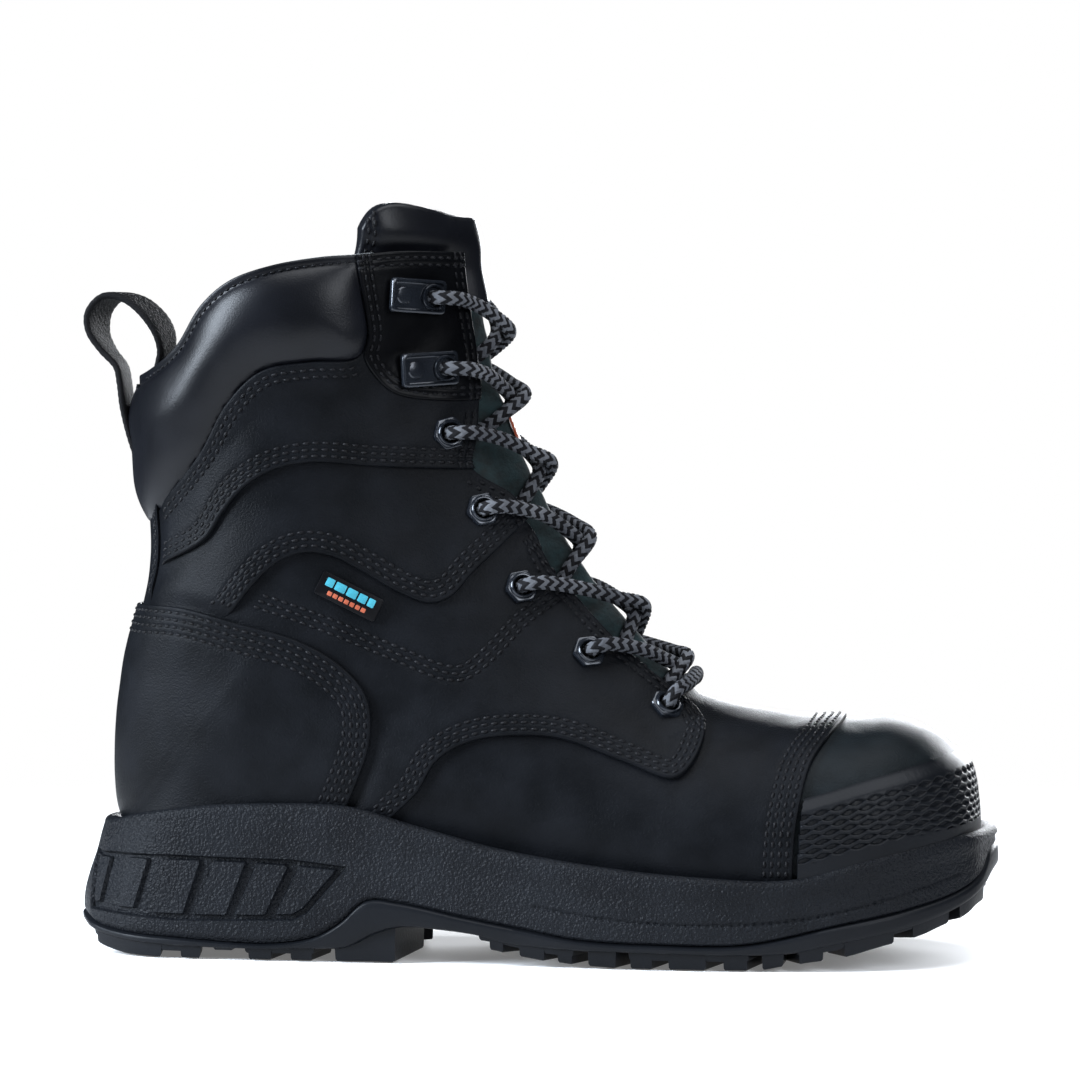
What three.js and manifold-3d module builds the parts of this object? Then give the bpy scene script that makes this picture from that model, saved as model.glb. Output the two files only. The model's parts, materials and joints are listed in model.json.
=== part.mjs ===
// Eight-inch lace-up safety work boot, right foot, in millimetres.
// +X points to the toe, -Y to the outer (lateral) side, +Z up; the tread rests on z = 0.
import * as THREE from 'three';
import { mergeVertices } from 'three/addons/utils/BufferGeometryUtils.js';
import Module from 'manifold-3d';

const wasm = await Module();
wasm.setup();

// ---------------------------------------------------------------- driving dimensions
const GAP = 0.3; // clearance between neighbouring pieces
const LEATHER = 2.0; // upper leather thickness, laid inwards from the last surface
const OVERLAY = 1.6; // thickness of a reinforcement sewn on top
const LINING_DEPTH = 2.3; // outer face of the lining below the last surface
const LINING_THICK = 2.2;
const TOE_SHELL_DEPTH = 4.6; // inner face of the moulded safety cap
const TOE_SHELL_START = 104; // x where the safety cap begins
const COLLAR_PROUD = 1.5; // padded collar stands proud of the leather
const SOLE_CLEAR = 2.3; // midsole cup clears the last surface by this much
const LACE_R = 2.0;
const EYELET_BORE = 3.3; // radius
const EYELET_FLAT = 6.2; // hexagon corner radius of the flange
const HOLE_R = 4.0; // hole in the leather for an eyelet
const TONGUE_TOP_Z = 254;
const PAD_SPLIT_Z = 240; // seam between tongue and its padded top
const COLUMNS_LOW = 3; // mesh columns from feather line or back seam to the widest line
const COLUMNS_HIGH = 5; // and from there to the instep ridge

// Stations of the last, toe to collar. Each is a line in the XZ plane from the feather line
// (bx, bz), or the back seam further up, to the instep ridge (rx, rz), with half widths:
// ry ridge offset, y at the base and at the widest line (lateral, medial), how far along
// the line the widest place lies, and the roundness of the ridge.
const STATIONS = [
  [145.5, 31.5, 145.8, 32.5, 5, 5, 5, 5, 5, 0.20, 0.55],
  [144.5, 31, 146, 40.5, 5, -7, 16, -8, 17, 0.20, 0.58],
  [141.5, 30, 145.5, 52, 5, -18, 26, -19, 27, 0.20, 0.60],
  [135, 28.5, 143, 64, 4.5, -28, 34.5, -30, 36, 0.20, 0.64],
  [126, 26, 135, 73.5, 4, -36.5, 41, -39, 43, 0.20, 0.70],
  [114, 23.5, 122.5, 78.5, 3.5, -42.5, 45.5, -46, 48, 0.20, 0.72],
  [98, 20.5, 106, 79.5, 3, -47, 48.5, -50.5, 51.5, 0.22, 0.70],
  [78, 19, 86, 81.5, 2, -49, 49.5, -53, 52.5, 0.25, 0.64],
  [55, 20, 67, 84.5, 1, -49, 46.5, -52.5, 49.5, 0.25, 0.56],
  [30, 23.5, 52.5, 90, 0.5, -46, 41, -49.5, 45, 0.26, 0.48],
  [5, 27.5, 39, 105, 0, -42.5, 36.5, -46, 41, 0.27, 0.43],
  [-22, 32.5, 24.5, 121.5, 0, -39.5, 34, -43, 39, 0.28, 0.42],
  [-50, 37, 12.5, 137.5, 0, -37.5, 34, -41, 38.5, 0.29, 0.43],
  [-80, 40, 2.5, 155.5, 0, -36.5, 35.5, -40, 39, 0.30, 0.46],
  [-108, 41.5, -5, 171, 0, -34, 34, -39, 38.5, 0.32, 0.48],
  [-129, 42, -10.5, 186.5, 0, -26, 26, -38.5, 38, 0.36, 0.50],
  [-140, 42, -13.5, 196.5, 0, -13, 13, -38, 37.5, 0.40, 0.51],
  [-143.5, 44, -14, 205.5, 0, 0, 0, -37.5, 37.5, 0.42, 0.52],
  [-146, 54.5, -15, 213.5, 0, 0, 0, -37, 37, 0.44, 0.52],
  [-146, 74.5, -16.5, 221.5, 0, 0, 0, -37, 37, 0.46, 0.53],
  [-143, 98.5, -18, 229, 0, 0, 0, -37, 37, 0.47, 0.53],
  [-137, 118.5, -19.5, 236, 0, 0, 0, -37.5, 37.5, 0.47, 0.54],
  [-134.5, 134.5, -20.5, 242.5, 0, 0, 0, -38.5, 38.5, 0.47, 0.54],
  [-135, 151.5, -21, 248.5, 0, 0, 0, -39.5, 39.5, 0.47, 0.54],
  [-136.5, 169.5, -21.5, 254.5, 0, 0, 0, -40.5, 40.5, 0.47, 0.54],
  [-138.5, 186.5, -22, 260.5, 0, 0, 0, -41.5, 41.5, 0.47, 0.54],
  [-139, 204.5, -22.5, 266.5, 0, 0, 0, -42.5, 42.5, 0.47, 0.54],
  [-139, 222.5, -23, 272.5, 0, 0, 0, -43, 43, 0.47, 0.54],
];
const LAST_ROW = STATIONS.length - 1;
const CLOSED_ROW = 17; // from this station up the section closes at the back seam

// Panel outlines as seen from the side (x, z). Both sides of the boot mirror them.
const COLLAR_TOP = [
  [-146, 195], [-134, 198], [-122, 206], [-112, 220], [-102, 228], [-88, 233], [-70, 236], [-58, 237],
];
const COLLAR_SEAM = [
  [-58, 237], [-56, 222], [-54, 210], [-57, 202], [-74, 201], [-90, 198], [-102, 187], [-112, 170],
  [-126, 154], [-134, 146], [-146, 140],
];
const SHAFT_LOW_EDGE = [
  [-127, 132], [-110, 141], [-103, 151], [-96, 159], [-86, 165], [-74, 167.5], [-51, 166], [-20, 165],
];
const MID_LOW_EDGE = [
  [-127, 110], [-104, 114], [-94, 125], [-86, 133], [-77, 137], [-67, 136], [-57, 131], [-45, 124],
  [-34, 120], [-27, 122], [-20, 130], [-11, 139], [0, 151],
];
const THROAT = [
  [-27, 262], [-24.5, 238], [-22.5, 222], [-19, 195], [-20, 175], [-21, 166], [-8, 156], [-2, 146],
  [4, 133], [14, 121], [25, 109], [37, 98], [47, 89.5], [55, 83.5],
];
const VAMP_LINE = [
  [-60, 30], [-46, 48], [-37, 57], [-30, 68], [-19, 74], [-6, 76], [11, 75], [31, 68], [49, 62],
  [54, 65], [58, 72], [58.5, 79], [55, 83.5],
];
const HEEL_COUNTER_TOP = [
  [-160, 117], [-137, 118], [-119, 118], [-98, 113], [-77, 107], [-62, 98], [-54, 88], [-53, 74],
  [-58, 59], [-63, 48], [-72, 30],
];
const LINING_EDGE = [
  [-52, 262], [-51, 222], [-47, 195], [-46.5, 175], [-41, 158], [-25, 140], [-13, 122], [4, 104], [32, 84],
  [60, 68],
];
const TOE_SEAM = [[104, 95], [105, 81], [101, 76], [95, 67], [92, 56], [90, 43], [89, 10]];
const BUMPER_TOP = [[94.5, 56.2], [98, 57], [115, 61.5], [131, 65.5], [145, 68.5], [160, 71], [180, 71]];

// Sole side curves (x, z).
const RIM = [
  [-170, 44], [-150, 46], [-142, 48], [-118, 51], [-95, 52.5], [-61, 52], [-42, 47], [-25, 42.5],
  [-8, 38.5], [26, 33.5], [59, 30.7], [89, 30.2], [112, 36], [134, 41], [150, 43.5], [170, 45],
];
const PARTING = [
  [-170, 16], [-158, 13], [-148, 9], [-118, 6.5], [-87, 5.5], [-72, 8], [-63, 13], [-54, 20.5],
  [-43, 20], [-20, 15.5], [0, 12], [18, 9], [45, 8], [75, 8.5], [103, 14.5], [127, 19.5], [144, 24.5],
  [151, 29], [156, 38], [170, 39],
];
const TREAD = [
  [170, 34], [157, 32], [156, 27], [154, 21.5], [146, 16.5], [135, 12], [116, 7], [101, 3.5], [93, 2.5],
  [89, 6.5], [87, 5], [81, 5], [77, 6], [75, 0], [36.5, 0], [33, 5.5], [31, 4.5], [22, 4.5], [19, 6],
  [16, 1], [-1, 3], [-11, 5], [-15, 9.5], [-28, 11], [-43, 12], [-45, 0], [-65.5, 0], [-68, 2.5],
  [-70.5, 2.5], [-73, 0], [-95, 0], [-99, 4], [-101, 3], [-107, 3], [-110.5, 4], [-115, 0], [-126, 0],
  [-143, 1], [-152, 4], [-157, 8], [-160, 11], [-170, 12],
];
// Plan of the sole: fraction of the length from the heel, half widths outer and inner.
const SOLE_BACK_X = -158;
const SOLE_FRONT_X = 156.4;
const SOLE_TIP_Y = 5;
const SOLE_PLAN = [
  [0.0, 0, 0], [0.012, 16, 16], [0.03, 24, 24], [0.08, 35, 35], [0.15, 40.5, 40.5], [0.25, 43.5, 42.5],
  [0.35, 45.5, 42], [0.45, 49, 42], [0.55, 54, 46], [0.65, 58, 53], [0.75, 58.5, 58], [0.85, 54, 56.5],
  [0.92, 44.5, 49], [0.97, 29, 35], [0.99, 14, 23], [1.0, -5, 5],
];

// Lace holes from toe to top (x, z) as seen from the side; the last two are in hooks.
const EYELETS = [[45, 85], [19, 103], [-4, 125], [-17.5, 151], [-29, 177]];
const HOOKS = [{ hole: [-31, 199], rear: [-46, 198] }, { hole: [-35, 223], rear: [-50, 224] }];
const FACING_LOW_Z = 186.5; // lower edge of the glossy facing under the hooks

const SIDES = [{ name: 'lateral', sign: -1 }, { name: 'medial', sign: 1 }];

// ---------------------------------------------------------------- materials
const finish = (color, roughness, metalness = 0) =>
  new THREE.MeshStandardMaterial({ color, roughness, metalness });
const leather = finish(0x17191d, 0.45);
const toeLeather = finish(0x1c2123, 0.55);
const smoothLeather = finish(0x1d2027, 0.32);
const rubber = finish(0x1b1e22, 0.8);
const foam = finish(0x23262a, 0.85);
const textile = finish(0x12201f, 0.9);
const composite = finish(0x3a3c3a, 0.5);
const blackNickel = finish(0x2a2d33, 0.25, 0.9);
const cordBlack = finish(0x2b2b2d, 0.9);
const webbing = finish(0x121214, 0.9);
const labelBlack = finish(0x0c0d0f, 0.7);
const labelRed = finish(0x8c2a1c, 0.7);
const board = finish(0x6b5b45, 0.9);
const steelGrey = finish(0x6d7074, 0.4, 0.9);

// ---------------------------------------------------------------- mesh and solid helpers
function solidOf(geometry) {
  const bare = geometry.clone();
  bare.deleteAttribute('normal');
  bare.deleteAttribute('uv');
  const merged = mergeVertices(bare, 1e-4);
  const solid = new wasm.Manifold(new wasm.Mesh({
    numProp: 3,
    vertProperties: new Float32Array(merged.attributes.position.array),
    triVerts: new Uint32Array(merged.index.array),
  }));
  return solid;
}

function geometryOf(solid) {
  const mesh = solid.getMesh();
  const geometry = new THREE.BufferGeometry();
  geometry.setAttribute('position', new THREE.BufferAttribute(mesh.vertProperties, 3));
  geometry.setIndex(new THREE.BufferAttribute(mesh.triVerts, 1));
  geometry.computeVertexNormals();
  return geometry;
}

// The largest body of a cut solid: slivers that a cut leaves behind are dropped.
function mainBody(solid) {
  const bodies = solid.decompose();
  return bodies.reduce((best, body) => (body.volume() > best.volume() ? body : best));
}

const group = new THREE.Group();

function add(name, source, material) {
  const geometry = source instanceof THREE.BufferGeometry ? source : geometryOf(mainBody(source));
  const mesh = new THREE.Mesh(geometry, material);
  mesh.name = name;
  group.add(mesh);
  return mesh;
}

const vec = (x, y, z) => new THREE.Vector3(x, y, z);
const lerp = THREE.MathUtils.lerp;
const ramp = THREE.MathUtils.smoothstep;

// Solid of a side outline (x, z), extruded across the boot from y0 to y1.
function sideSolid(outline, y0, y1) {
  const shape = new THREE.Shape(outline.map(([x, z]) => new THREE.Vector2(x, z)));
  const geometry = new THREE.ExtrudeGeometry(shape, { depth: y1 - y0, bevelEnabled: false });
  geometry.rotateX(Math.PI / 2);
  geometry.translate(0, y1, 0);
  return solidOf(geometry);
}

const fullWidth = (outline) => sideSolid(outline, -120, 120);

function boxSolid(x0, x1, y0, y1, z0, z1) {
  const geometry = new THREE.BoxGeometry(x1 - x0, y1 - y0, z1 - z0);
  geometry.translate((x0 + x1) / 2, (y0 + y1) / 2, (z0 + z1) / 2);
  return solidOf(geometry);
}

// Outline grown outwards by a distance, corner by corner.
function grow(outline, distance) {
  const area = outline.reduce((sum, [x, z], i) => {
    const [nx, nz] = outline[(i + 1) % outline.length];
    return sum + x * nz - nx * z;
  }, 0);
  const turn = Math.sign(area) * distance;
  return outline.map(([x, z], i) => {
    const before = outline[(i + outline.length - 1) % outline.length];
    const after = outline[(i + 1) % outline.length];
    const into = new THREE.Vector2(x - before[0], z - before[1]).normalize();
    const out = new THREE.Vector2(after[0] - x, after[1] - z).normalize();
    const middle = into.clone().add(out).normalize();
    const stretch = 1 / Math.max(middle.dot(out), 0.6);
    return [x + middle.y * turn * stretch, z - middle.x * turn * stretch];
  });
}

const shiftUp = (curve, dz) => curve.map(([x, z]) => [x, z + dz]);
const reversed = (curve) => [...curve].reverse();

// Height of a side curve at x, by straight pieces.
function heightAt(curve, x) {
  const last = curve.length - 1;
  const i = Math.min(Math.max(curve.findIndex(([cx]) => cx > x), 1), last);
  const [x0, z0] = curve[i - 1];
  const [x1, z1] = curve[i];
  return lerp(z0, z1, (x - x0) / (x1 - x0));
}

// ---------------------------------------------------------------- the last surface
// Half section through a station: q runs 0 at the base, 1 at the widest line, 2 at the ridge.
function sectionAt(row, q, sign) {
  const [bx, bz, rx, rz, ry, baseOuter, baseInner, wideOuter, wideInner, wideAt, round] = row;
  const yBase = sign < 0 ? baseOuter : baseInner;
  const yWide = sign < 0 ? wideOuter : wideInner;
  const spread = Math.abs(yBase - ry) / Math.max(Math.abs(yWide - ry), 1e-6);
  const closed = THREE.MathUtils.clamp(1 - spread, 0, 1);
  const bezier = (t, a, b, c, d) =>
    (1 - t) ** 3 * a + 3 * (1 - t) ** 2 * t * b + 3 * (1 - t) * t * t * c + t ** 3 * d;
  let n;
  let y;
  if (q < 1) {
    n = bezier(q, 0, wideAt * 0.4 * (1 - closed), wideAt * 0.52, wideAt);
    y = bezier(q, yBase, yBase + closed * 0.55 * (yWide - yBase), yWide, yWide);
  } else {
    n = bezier(q - 1, wideAt, wideAt + (1 - wideAt) * round, 1, 1);
    y = bezier(q - 1, yWide, yWide, ry + round * (yWide - ry), ry);
  }
  return vec(bx + n * (rx - bx), y, bz + n * (rz - bz));
}

function rowAt(u) {
  const place = THREE.MathUtils.clamp(u, 0, LAST_ROW);
  const i = Math.min(Math.floor(place), LAST_ROW - 1);
  const f = place - i;
  return STATIONS[i].map((value, k) => lerp(value, STATIONS[i + 1][k], f));
}

function surfaceNormal(u, q, sign) {
  if (u <= 0) return vec(1, 0, 0);
  const du = 0.05;
  const dq = 0.02;
  const along = sectionAt(rowAt(u + du), q, sign).sub(sectionAt(rowAt(u - du), q, sign));
  const q0 = Math.max(q - dq, 0);
  const q1 = Math.min(q + dq, 2);
  let round = sectionAt(rowAt(u), q1, sign).sub(sectionAt(rowAt(u), q0, sign));
  if (q >= 2) round = vec(0, -sign, 0);
  if (q <= 0 && u >= CLOSED_ROW) round = vec(0, sign, 0);
  const normal = along.cross(round).multiplyScalar(sign);
  if (q >= 2 || (q <= 0 && u >= CLOSED_ROW)) normal.y = 0;
  return normal.normalize();
}

function surfacePoint(u, q, sign, offset) {
  return sectionAt(rowAt(u), q, sign).addScaledVector(surfaceNormal(u, q, sign), offset);
}

// Station and section place of the surface point seen at (x, z) from the side.
function placeOnSide(x, z, sign) {
  const side = (u) => {
    const [bx, bz, rx, rz] = rowAt(u);
    return (rx - bx) * (z - bz) - (rz - bz) * (x - bx);
  };
  let low = 0.5;
  let high = LAST_ROW;
  for (let step = 0; step < 40; step += 1) {
    const middle = (low + high) / 2;
    if (side(middle) > 0) low = middle;
    else high = middle;
  }
  const u = (low + high) / 2;
  const row = rowAt(u);
  const wanted = ((x - row[0]) * (row[2] - row[0]) + (z - row[1]) * (row[3] - row[1]))
    / ((row[2] - row[0]) ** 2 + (row[3] - row[1]) ** 2);
  let q0 = 0;
  let q1 = 2;
  for (let step = 0; step < 40; step += 1) {
    const middle = (q0 + q1) / 2;
    const p = sectionAt(row, middle, sign);
    const n = ((p.x - row[0]) * (row[2] - row[0]) + (p.z - row[1]) * (row[3] - row[1]))
      / ((row[2] - row[0]) ** 2 + (row[3] - row[1]) ** 2);
    if (n < wanted) q0 = middle;
    else q1 = middle;
  }
  return { u, q: (q0 + q1) / 2, sign };
}

// Section place of a given |y| between the widest line and the ridge.
function placeAtWidth(u, width, sign) {
  const row = rowAt(u);
  let q0 = 1;
  let q1 = 2;
  for (let step = 0; step < 30; step += 1) {
    const middle = (q0 + q1) / 2;
    if (Math.abs(sectionAt(row, middle, sign).y - row[4]) > width) q0 = middle;
    else q1 = middle;
  }
  return (q0 + q1) / 2;
}

const COLUMNS = [];
for (let k = 0; k < COLUMNS_LOW; k += 1) COLUMNS.push(k / COLUMNS_LOW);
for (let k = 0; k <= COLUMNS_HIGH; k += 1) COLUMNS.push(1 + k / COLUMNS_HIGH);

// Mesh places that both sides of the boot share: the toe point, the ridge and the back seam.
const joined = (row, column) =>
  row === 0 || column === COLUMNS.length - 1 || (column === 0 && row >= CLOSED_ROW);

// Closed shell between two offsets of the last, over both sides. Offsets are functions of (u, q).
function shell(outer, inner, firstRow = 0, lastRow = LAST_ROW) {
  const positions = [];
  const index = [];
  const rows = lastRow - firstRow + 1;
  const cols = COLUMNS.length;
  const layers = [outer, inner];
  layers.forEach((offset) => {
    SIDES.forEach(({ sign }) => {
      for (let r = 0; r < rows; r += 1) {
        for (let c = 0; c < cols; c += 1) {
          const u = firstRow + r;
          const p = surfacePoint(u, COLUMNS[c], sign, offset(u, COLUMNS[c]));
          positions.push(p.x, p.y, p.z);
        }
      }
    });
  });
  const at = (layer, side, r, c) => ((layer * 2 + (joined(firstRow + r, c) ? 0 : side)) * rows + r) * cols + c;
  const quad = (a, b, c, d, flip) => {
    if (flip) index.push(a, d, b, b, d, c);
    else index.push(a, b, d, b, c, d);
  };
  for (let side = 0; side < 2; side += 1) {
    const flip = side === 1;
    for (let r = 0; r < rows - 1; r += 1) {
      for (let c = 0; c < cols - 1; c += 1) {
        quad(at(0, side, r, c), at(0, side, r, c + 1), at(0, side, r + 1, c + 1), at(0, side, r + 1, c), flip);
        quad(at(1, side, r, c), at(1, side, r, c + 1), at(1, side, r + 1, c + 1), at(1, side, r + 1, c), !flip);
      }
      if (firstRow + r < CLOSED_ROW) {
        quad(at(0, side, r, 0), at(1, side, r, 0), at(1, side, r + 1, 0), at(0, side, r + 1, 0), !flip);
      }
    }
    for (let c = 0; c < cols - 1; c += 1) {
      quad(at(0, side, rows - 1, c), at(0, side, rows - 1, c + 1), at(1, side, rows - 1, c + 1),
        at(1, side, rows - 1, c), flip);
      if (firstRow > 0) {
        quad(at(0, side, 0, c), at(0, side, 0, c + 1), at(1, side, 0, c + 1), at(1, side, 0, c), !flip);
      }
    }
  }
  return closedSolid(positions, index);
}

function closedSolid(positions, index) {
  const geometry = new THREE.BufferGeometry();
  geometry.setAttribute('position', new THREE.Float32BufferAttribute(positions, 3));
  geometry.setIndex(index);
  return solidOf(geometry);
}

const layer = (outer, inner) => shell(() => outer, () => inner);

// Everything inside an offset of the last, with its floor dropped below the feather line.
function filled(offset, drop) {
  const positions = [];
  const index = [];
  const rows = LAST_ROW + 1;
  const cols = COLUMNS.length;
  SIDES.forEach(({ sign }) => {
    for (let r = 0; r < rows; r += 1) {
      for (let c = 0; c < cols; c += 1) {
        const p = surfacePoint(r, COLUMNS[c], sign, offset);
        if (c === 0 && r < CLOSED_ROW) p.z -= drop;
        positions.push(p.x, p.y, p.z);
      }
    }
  });
  const at = (side, r, c) => ((joined(r, c) ? 0 : side) * rows + r) * cols + c;
  const face = (...corners) => {
    if (new Set(corners).size === 3) index.push(...corners);
  };
  for (let r = 0; r < rows - 1; r += 1) {
    for (let c = 0; c < cols - 1; c += 1) {
      face(at(0, r, c), at(0, r, c + 1), at(0, r + 1, c));
      face(at(0, r, c + 1), at(0, r + 1, c + 1), at(0, r + 1, c));
      face(at(1, r, c), at(1, r + 1, c), at(1, r, c + 1));
      face(at(1, r, c + 1), at(1, r + 1, c), at(1, r + 1, c + 1));
    }
    if (r < CLOSED_ROW) {
      face(at(0, r, 0), at(1, r + 1, 0), at(1, r, 0));
      face(at(0, r, 0), at(0, r + 1, 0), at(1, r + 1, 0));
    }
  }
  for (let c = 0; c < cols - 1; c += 1) {
    const top = rows - 1;
    face(at(0, top, c), at(0, top, c + 1), at(1, top, c));
    face(at(1, top, c), at(0, top, c + 1), at(1, top, c + 1));
  }
  return closedSolid(positions, index);
}

// ---------------------------------------------------------------- panel outlines, closed
const FAR = 320;
const collarOutline = [...COLLAR_TOP, ...COLLAR_SEAM.slice(1)];
const aboveShaftEdge = [...SHAFT_LOW_EDGE, [40, 165], [40, FAR], [-180, FAR], [-180, 132]];
const aboveMidEdge = [...MID_LOW_EDGE, [60, 211], [60, FAR], [-180, FAR], [-180, 110]];
const behindThroat = [...THROAT, [55, -20], [-180, -20], [-180, 262]];
const behindVamp = [...VAMP_LINE, [55, FAR], [-180, FAR], [-180, -20], [-90, -20]];
const counterOutline = [...HEEL_COUNTER_TOP, [-72, -20], [-170, -20], [-170, 117]];
const stiffenerOutline = grow(counterOutline, -11);
const toeOutline = [...TOE_SEAM, [89, -20], [180, -20], [180, 95]];
const belowCollarTop = [...reversed(COLLAR_TOP), [-180, 195], [-180, -20], [60, -20], [60, 239], [-58, 239]];
const facingOutline = [
  [-58, 237.5], [-55.5, 222], [-53.5, 210], [-54, 201.5], [-46, FACING_LOW_Z + 4], [-30, FACING_LOW_Z + 1.5],
  [-10, FACING_LOW_Z + 2.5], [-10, 239], [-28, 239], [-52, 238.5],
];
const BACKSTAY_LOW_Z = 120;
const BACKSTAY_TOP_Z = 193;
const backstayOutline = [
  [-170, BACKSTAY_LOW_Z], [-131.5, BACKSTAY_LOW_Z], [-128, 134], [-128.5, 151], [-131.5, 170],
  [-135.5, BACKSTAY_TOP_Z], [-170, BACKSTAY_TOP_Z],
];

// ---------------------------------------------------------------- eyelet and hook places
const tangentFrame = ({ u, q, sign }) => ({ at: surfacePoint(u, q, sign, 0), normal: surfaceNormal(u, q, sign) });

function laceHoles(sign) {
  const points = [...EYELETS, ...HOOKS.map(({ hole }) => hole)];
  return points.map(([x, z]) => {
    const place = placeOnSide(x, z, sign);
    return { ...place, ...tangentFrame(place) };
  });
}
const HOLES = { lateral: laceHoles(-1), medial: laceHoles(1) };

// Geometry built along +Z turned so that +Z follows a normal and +X a chosen direction.
function placed(geometry, at, normal, forward) {
  const z = normal.clone().normalize();
  const x = forward.clone().addScaledVector(z, -forward.dot(z)).normalize();
  const y = z.clone().cross(x);
  geometry.applyMatrix4(new THREE.Matrix4().makeBasis(x, y, z).setPosition(at));
  return geometry;
}

function circlePoints(radius, count, turn = 0) {
  return Array.from({ length: count }, (_, i) => {
    const angle = turn + (i / count) * Math.PI * 2;
    return new THREE.Vector2(radius * Math.cos(angle), radius * Math.sin(angle));
  });
}

function plate(points, holes, bottom, top) {
  const shape = new THREE.Shape(points);
  shape.holes = holes.map((hole) => new THREE.Path(hole));
  const geometry = new THREE.ExtrudeGeometry(shape, { depth: top - bottom, bevelEnabled: false });
  geometry.translate(0, 0, bottom);
  return geometry;
}

const ROUND = 10; // facets of a small round part

function drill(hole, radius) {
  const geometry = placed(plate(circlePoints(radius, ROUND), [], -9, 6), hole.at, hole.normal, vec(1, 0, 0));
  return solidOf(geometry);
}

// A hook plate lies flat at its lace hole and points backwards to its rivet.
const RIVET_REACH = 11; // from the lace hole to the rivet
const RIVET_SHANK_R = 1.8;
const hookForward = (hook, hole) => {
  const rear = placeOnSide(hook.rear[0], hook.rear[1], hole.sign);
  const forward = hole.at.clone().sub(tangentFrame(rear).at);
  return forward.addScaledVector(hole.normal, -forward.dot(hole.normal)).normalize();
};
const rivetCentre = (hook, hole) => hole.at.clone().addScaledVector(hookForward(hook, hole), -RIVET_REACH);

function cutHoles(solid, sideName) {
  let result = solid;
  HOLES[sideName].forEach((hole) => {
    result = result.subtract(drill(hole, HOLE_R));
  });
  HOOKS.forEach((hook, i) => {
    const hole = HOLES[sideName][EYELETS.length + i];
    const rivetHole = { at: rivetCentre(hook, hole), normal: hole.normal };
    result = result.subtract(drill(rivetHole, RIVET_SHANK_R + GAP));
  });
  return result;
}

// ---------------------------------------------------------------- upper
// Nothing of the upper reaches below the heel seat of the last.
const HEEL_SEAT_Z = 42.4;
const aboveFloor = fullWidth([
  [-180, HEEL_SEAT_Z], [-118, HEEL_SEAT_Z], [-80, 40.5], [-50, 30], [0, -20], [180, -20], [180, FAR], [-180, FAR],
]);
const leatherLayer = layer(0, -LEATHER).intersect(aboveFloor);
const overlayLayer = layer(GAP + OVERLAY, GAP).intersect(aboveFloor);
const collarCut = fullWidth(grow(collarOutline, GAP));
const backstayCut = fullWidth(grow(backstayOutline, GAP));
const stiffenerCut = fullWidth(grow(stiffenerOutline, GAP));
const belowTop = fullWidth(belowCollarTop);
const behindThroatCut = fullWidth(behindThroat);

SIDES.forEach(({ name, sign }) => {
  const halfBox = sign < 0 ? boxSolid(-180, 180, -120, -GAP, -20, FAR) : boxSolid(-180, 180, GAP, 120, -20, FAR);
  const half = leatherLayer.intersect(halfBox).intersect(belowTop).intersect(behindThroatCut);
  const trimmed = half.subtract(collarCut).subtract(stiffenerCut).subtract(backstayCut);
  const facing = trimmed.intersect(fullWidth(facingOutline));
  const aboveShaft = fullWidth(grow(aboveShaftEdge, -GAP / 2));
  const shaft = trimmed.intersect(aboveShaft).subtract(fullWidth(grow(facingOutline, GAP)));
  const belowShaft = trimmed.subtract(fullWidth(grow(aboveShaftEdge, GAP / 2)));
  const mid = belowShaft.intersect(fullWidth(grow(aboveMidEdge, -GAP / 2)));
  const quarter = belowShaft.subtract(fullWidth(grow(aboveMidEdge, GAP / 2))).intersect(fullWidth(behindVamp));
  add(`facing_${name}`, cutHoles(facing, name), smoothLeather);
  add(`shaft_panel_${name}`, cutHoles(shaft, name), leather);
  add(`mid_panel_${name}`, cutHoles(mid, name), leather);
  add(`quarter_${name}`, cutHoles(quarter, name), leather);
});

const vampOutline = [
  ...reversed(VAMP_LINE), [-90, -20], [TOE_SHELL_START - GAP, -20], [TOE_SHELL_START - GAP, 95], [55, 100],
];
add('vamp', leatherLayer.intersect(fullWidth(grow(vampOutline, -GAP / 2))), leather);

const capShell = layer(0, -TOE_SHELL_DEPTH);
add('safety_toe_cap', capShell.intersect(boxSolid(TOE_SHELL_START, 180, -120, 120, 33, 120)), composite);
add('toe_cap_leather', overlayLayer.intersect(fullWidth(toeOutline)), toeLeather);

const BUMPER_IN = GAP + OVERLAY + GAP;
const BUMPER_THICK = 2.2;
const bumperOutline = [...BUMPER_TOP, ...reversed(shiftUp(RIM, 2 * GAP)).filter(([x]) => x > 90), [93.5, 31.5]];
add('toe_bumper', layer(BUMPER_IN + BUMPER_THICK, BUMPER_IN).intersect(fullWidth(bumperOutline)), rubber);

add('heel_counter', overlayLayer.intersect(fullWidth(counterOutline)), leather);
add('counter_stiffener', leatherLayer.intersect(fullWidth(stiffenerOutline)), composite);
add('backstay', layer(GAP + OVERLAY, -LEATHER).intersect(fullWidth(backstayOutline))
  .intersect(boxSolid(-170, -120, -60, 60, BACKSTAY_LOW_Z, BACKSTAY_TOP_Z)), leather);

const collarSolid = (outer, inner, trim) => layer(outer, inner).intersect(fullWidth(grow(collarOutline, trim)));
add('collar', collarSolid(COLLAR_PROUD, -LEATHER, 0).subtract(backstayCut), smoothLeather);
add('collar_foam', collarSolid(-LEATHER - GAP, -6.6, -1.5), foam);
add('collar_lining', collarSolid(-6.9, -9, 0), textile);

// Lining: follows the leather, steps in under the safety cap, stops short of the throat.
const liningDepth = (u) => -LINING_DEPTH - (TOE_SHELL_DEPTH - LINING_DEPTH + GAP) * (1 - ramp(u, 6, 7));
const liningOutline = [...LINING_EDGE, [60, 120], [180, 120], [180, -20], [-180, -20], [-180, 262]];
add('lining', shell(liningDepth, (u) => liningDepth(u) - LINING_THICK).intersect(fullWidth(liningOutline))
  .intersect(belowTop.add(boxSolid(50, 180, -120, 120, -20, 120))).subtract(collarCut)
  .intersect(aboveFloor), textile);

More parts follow.
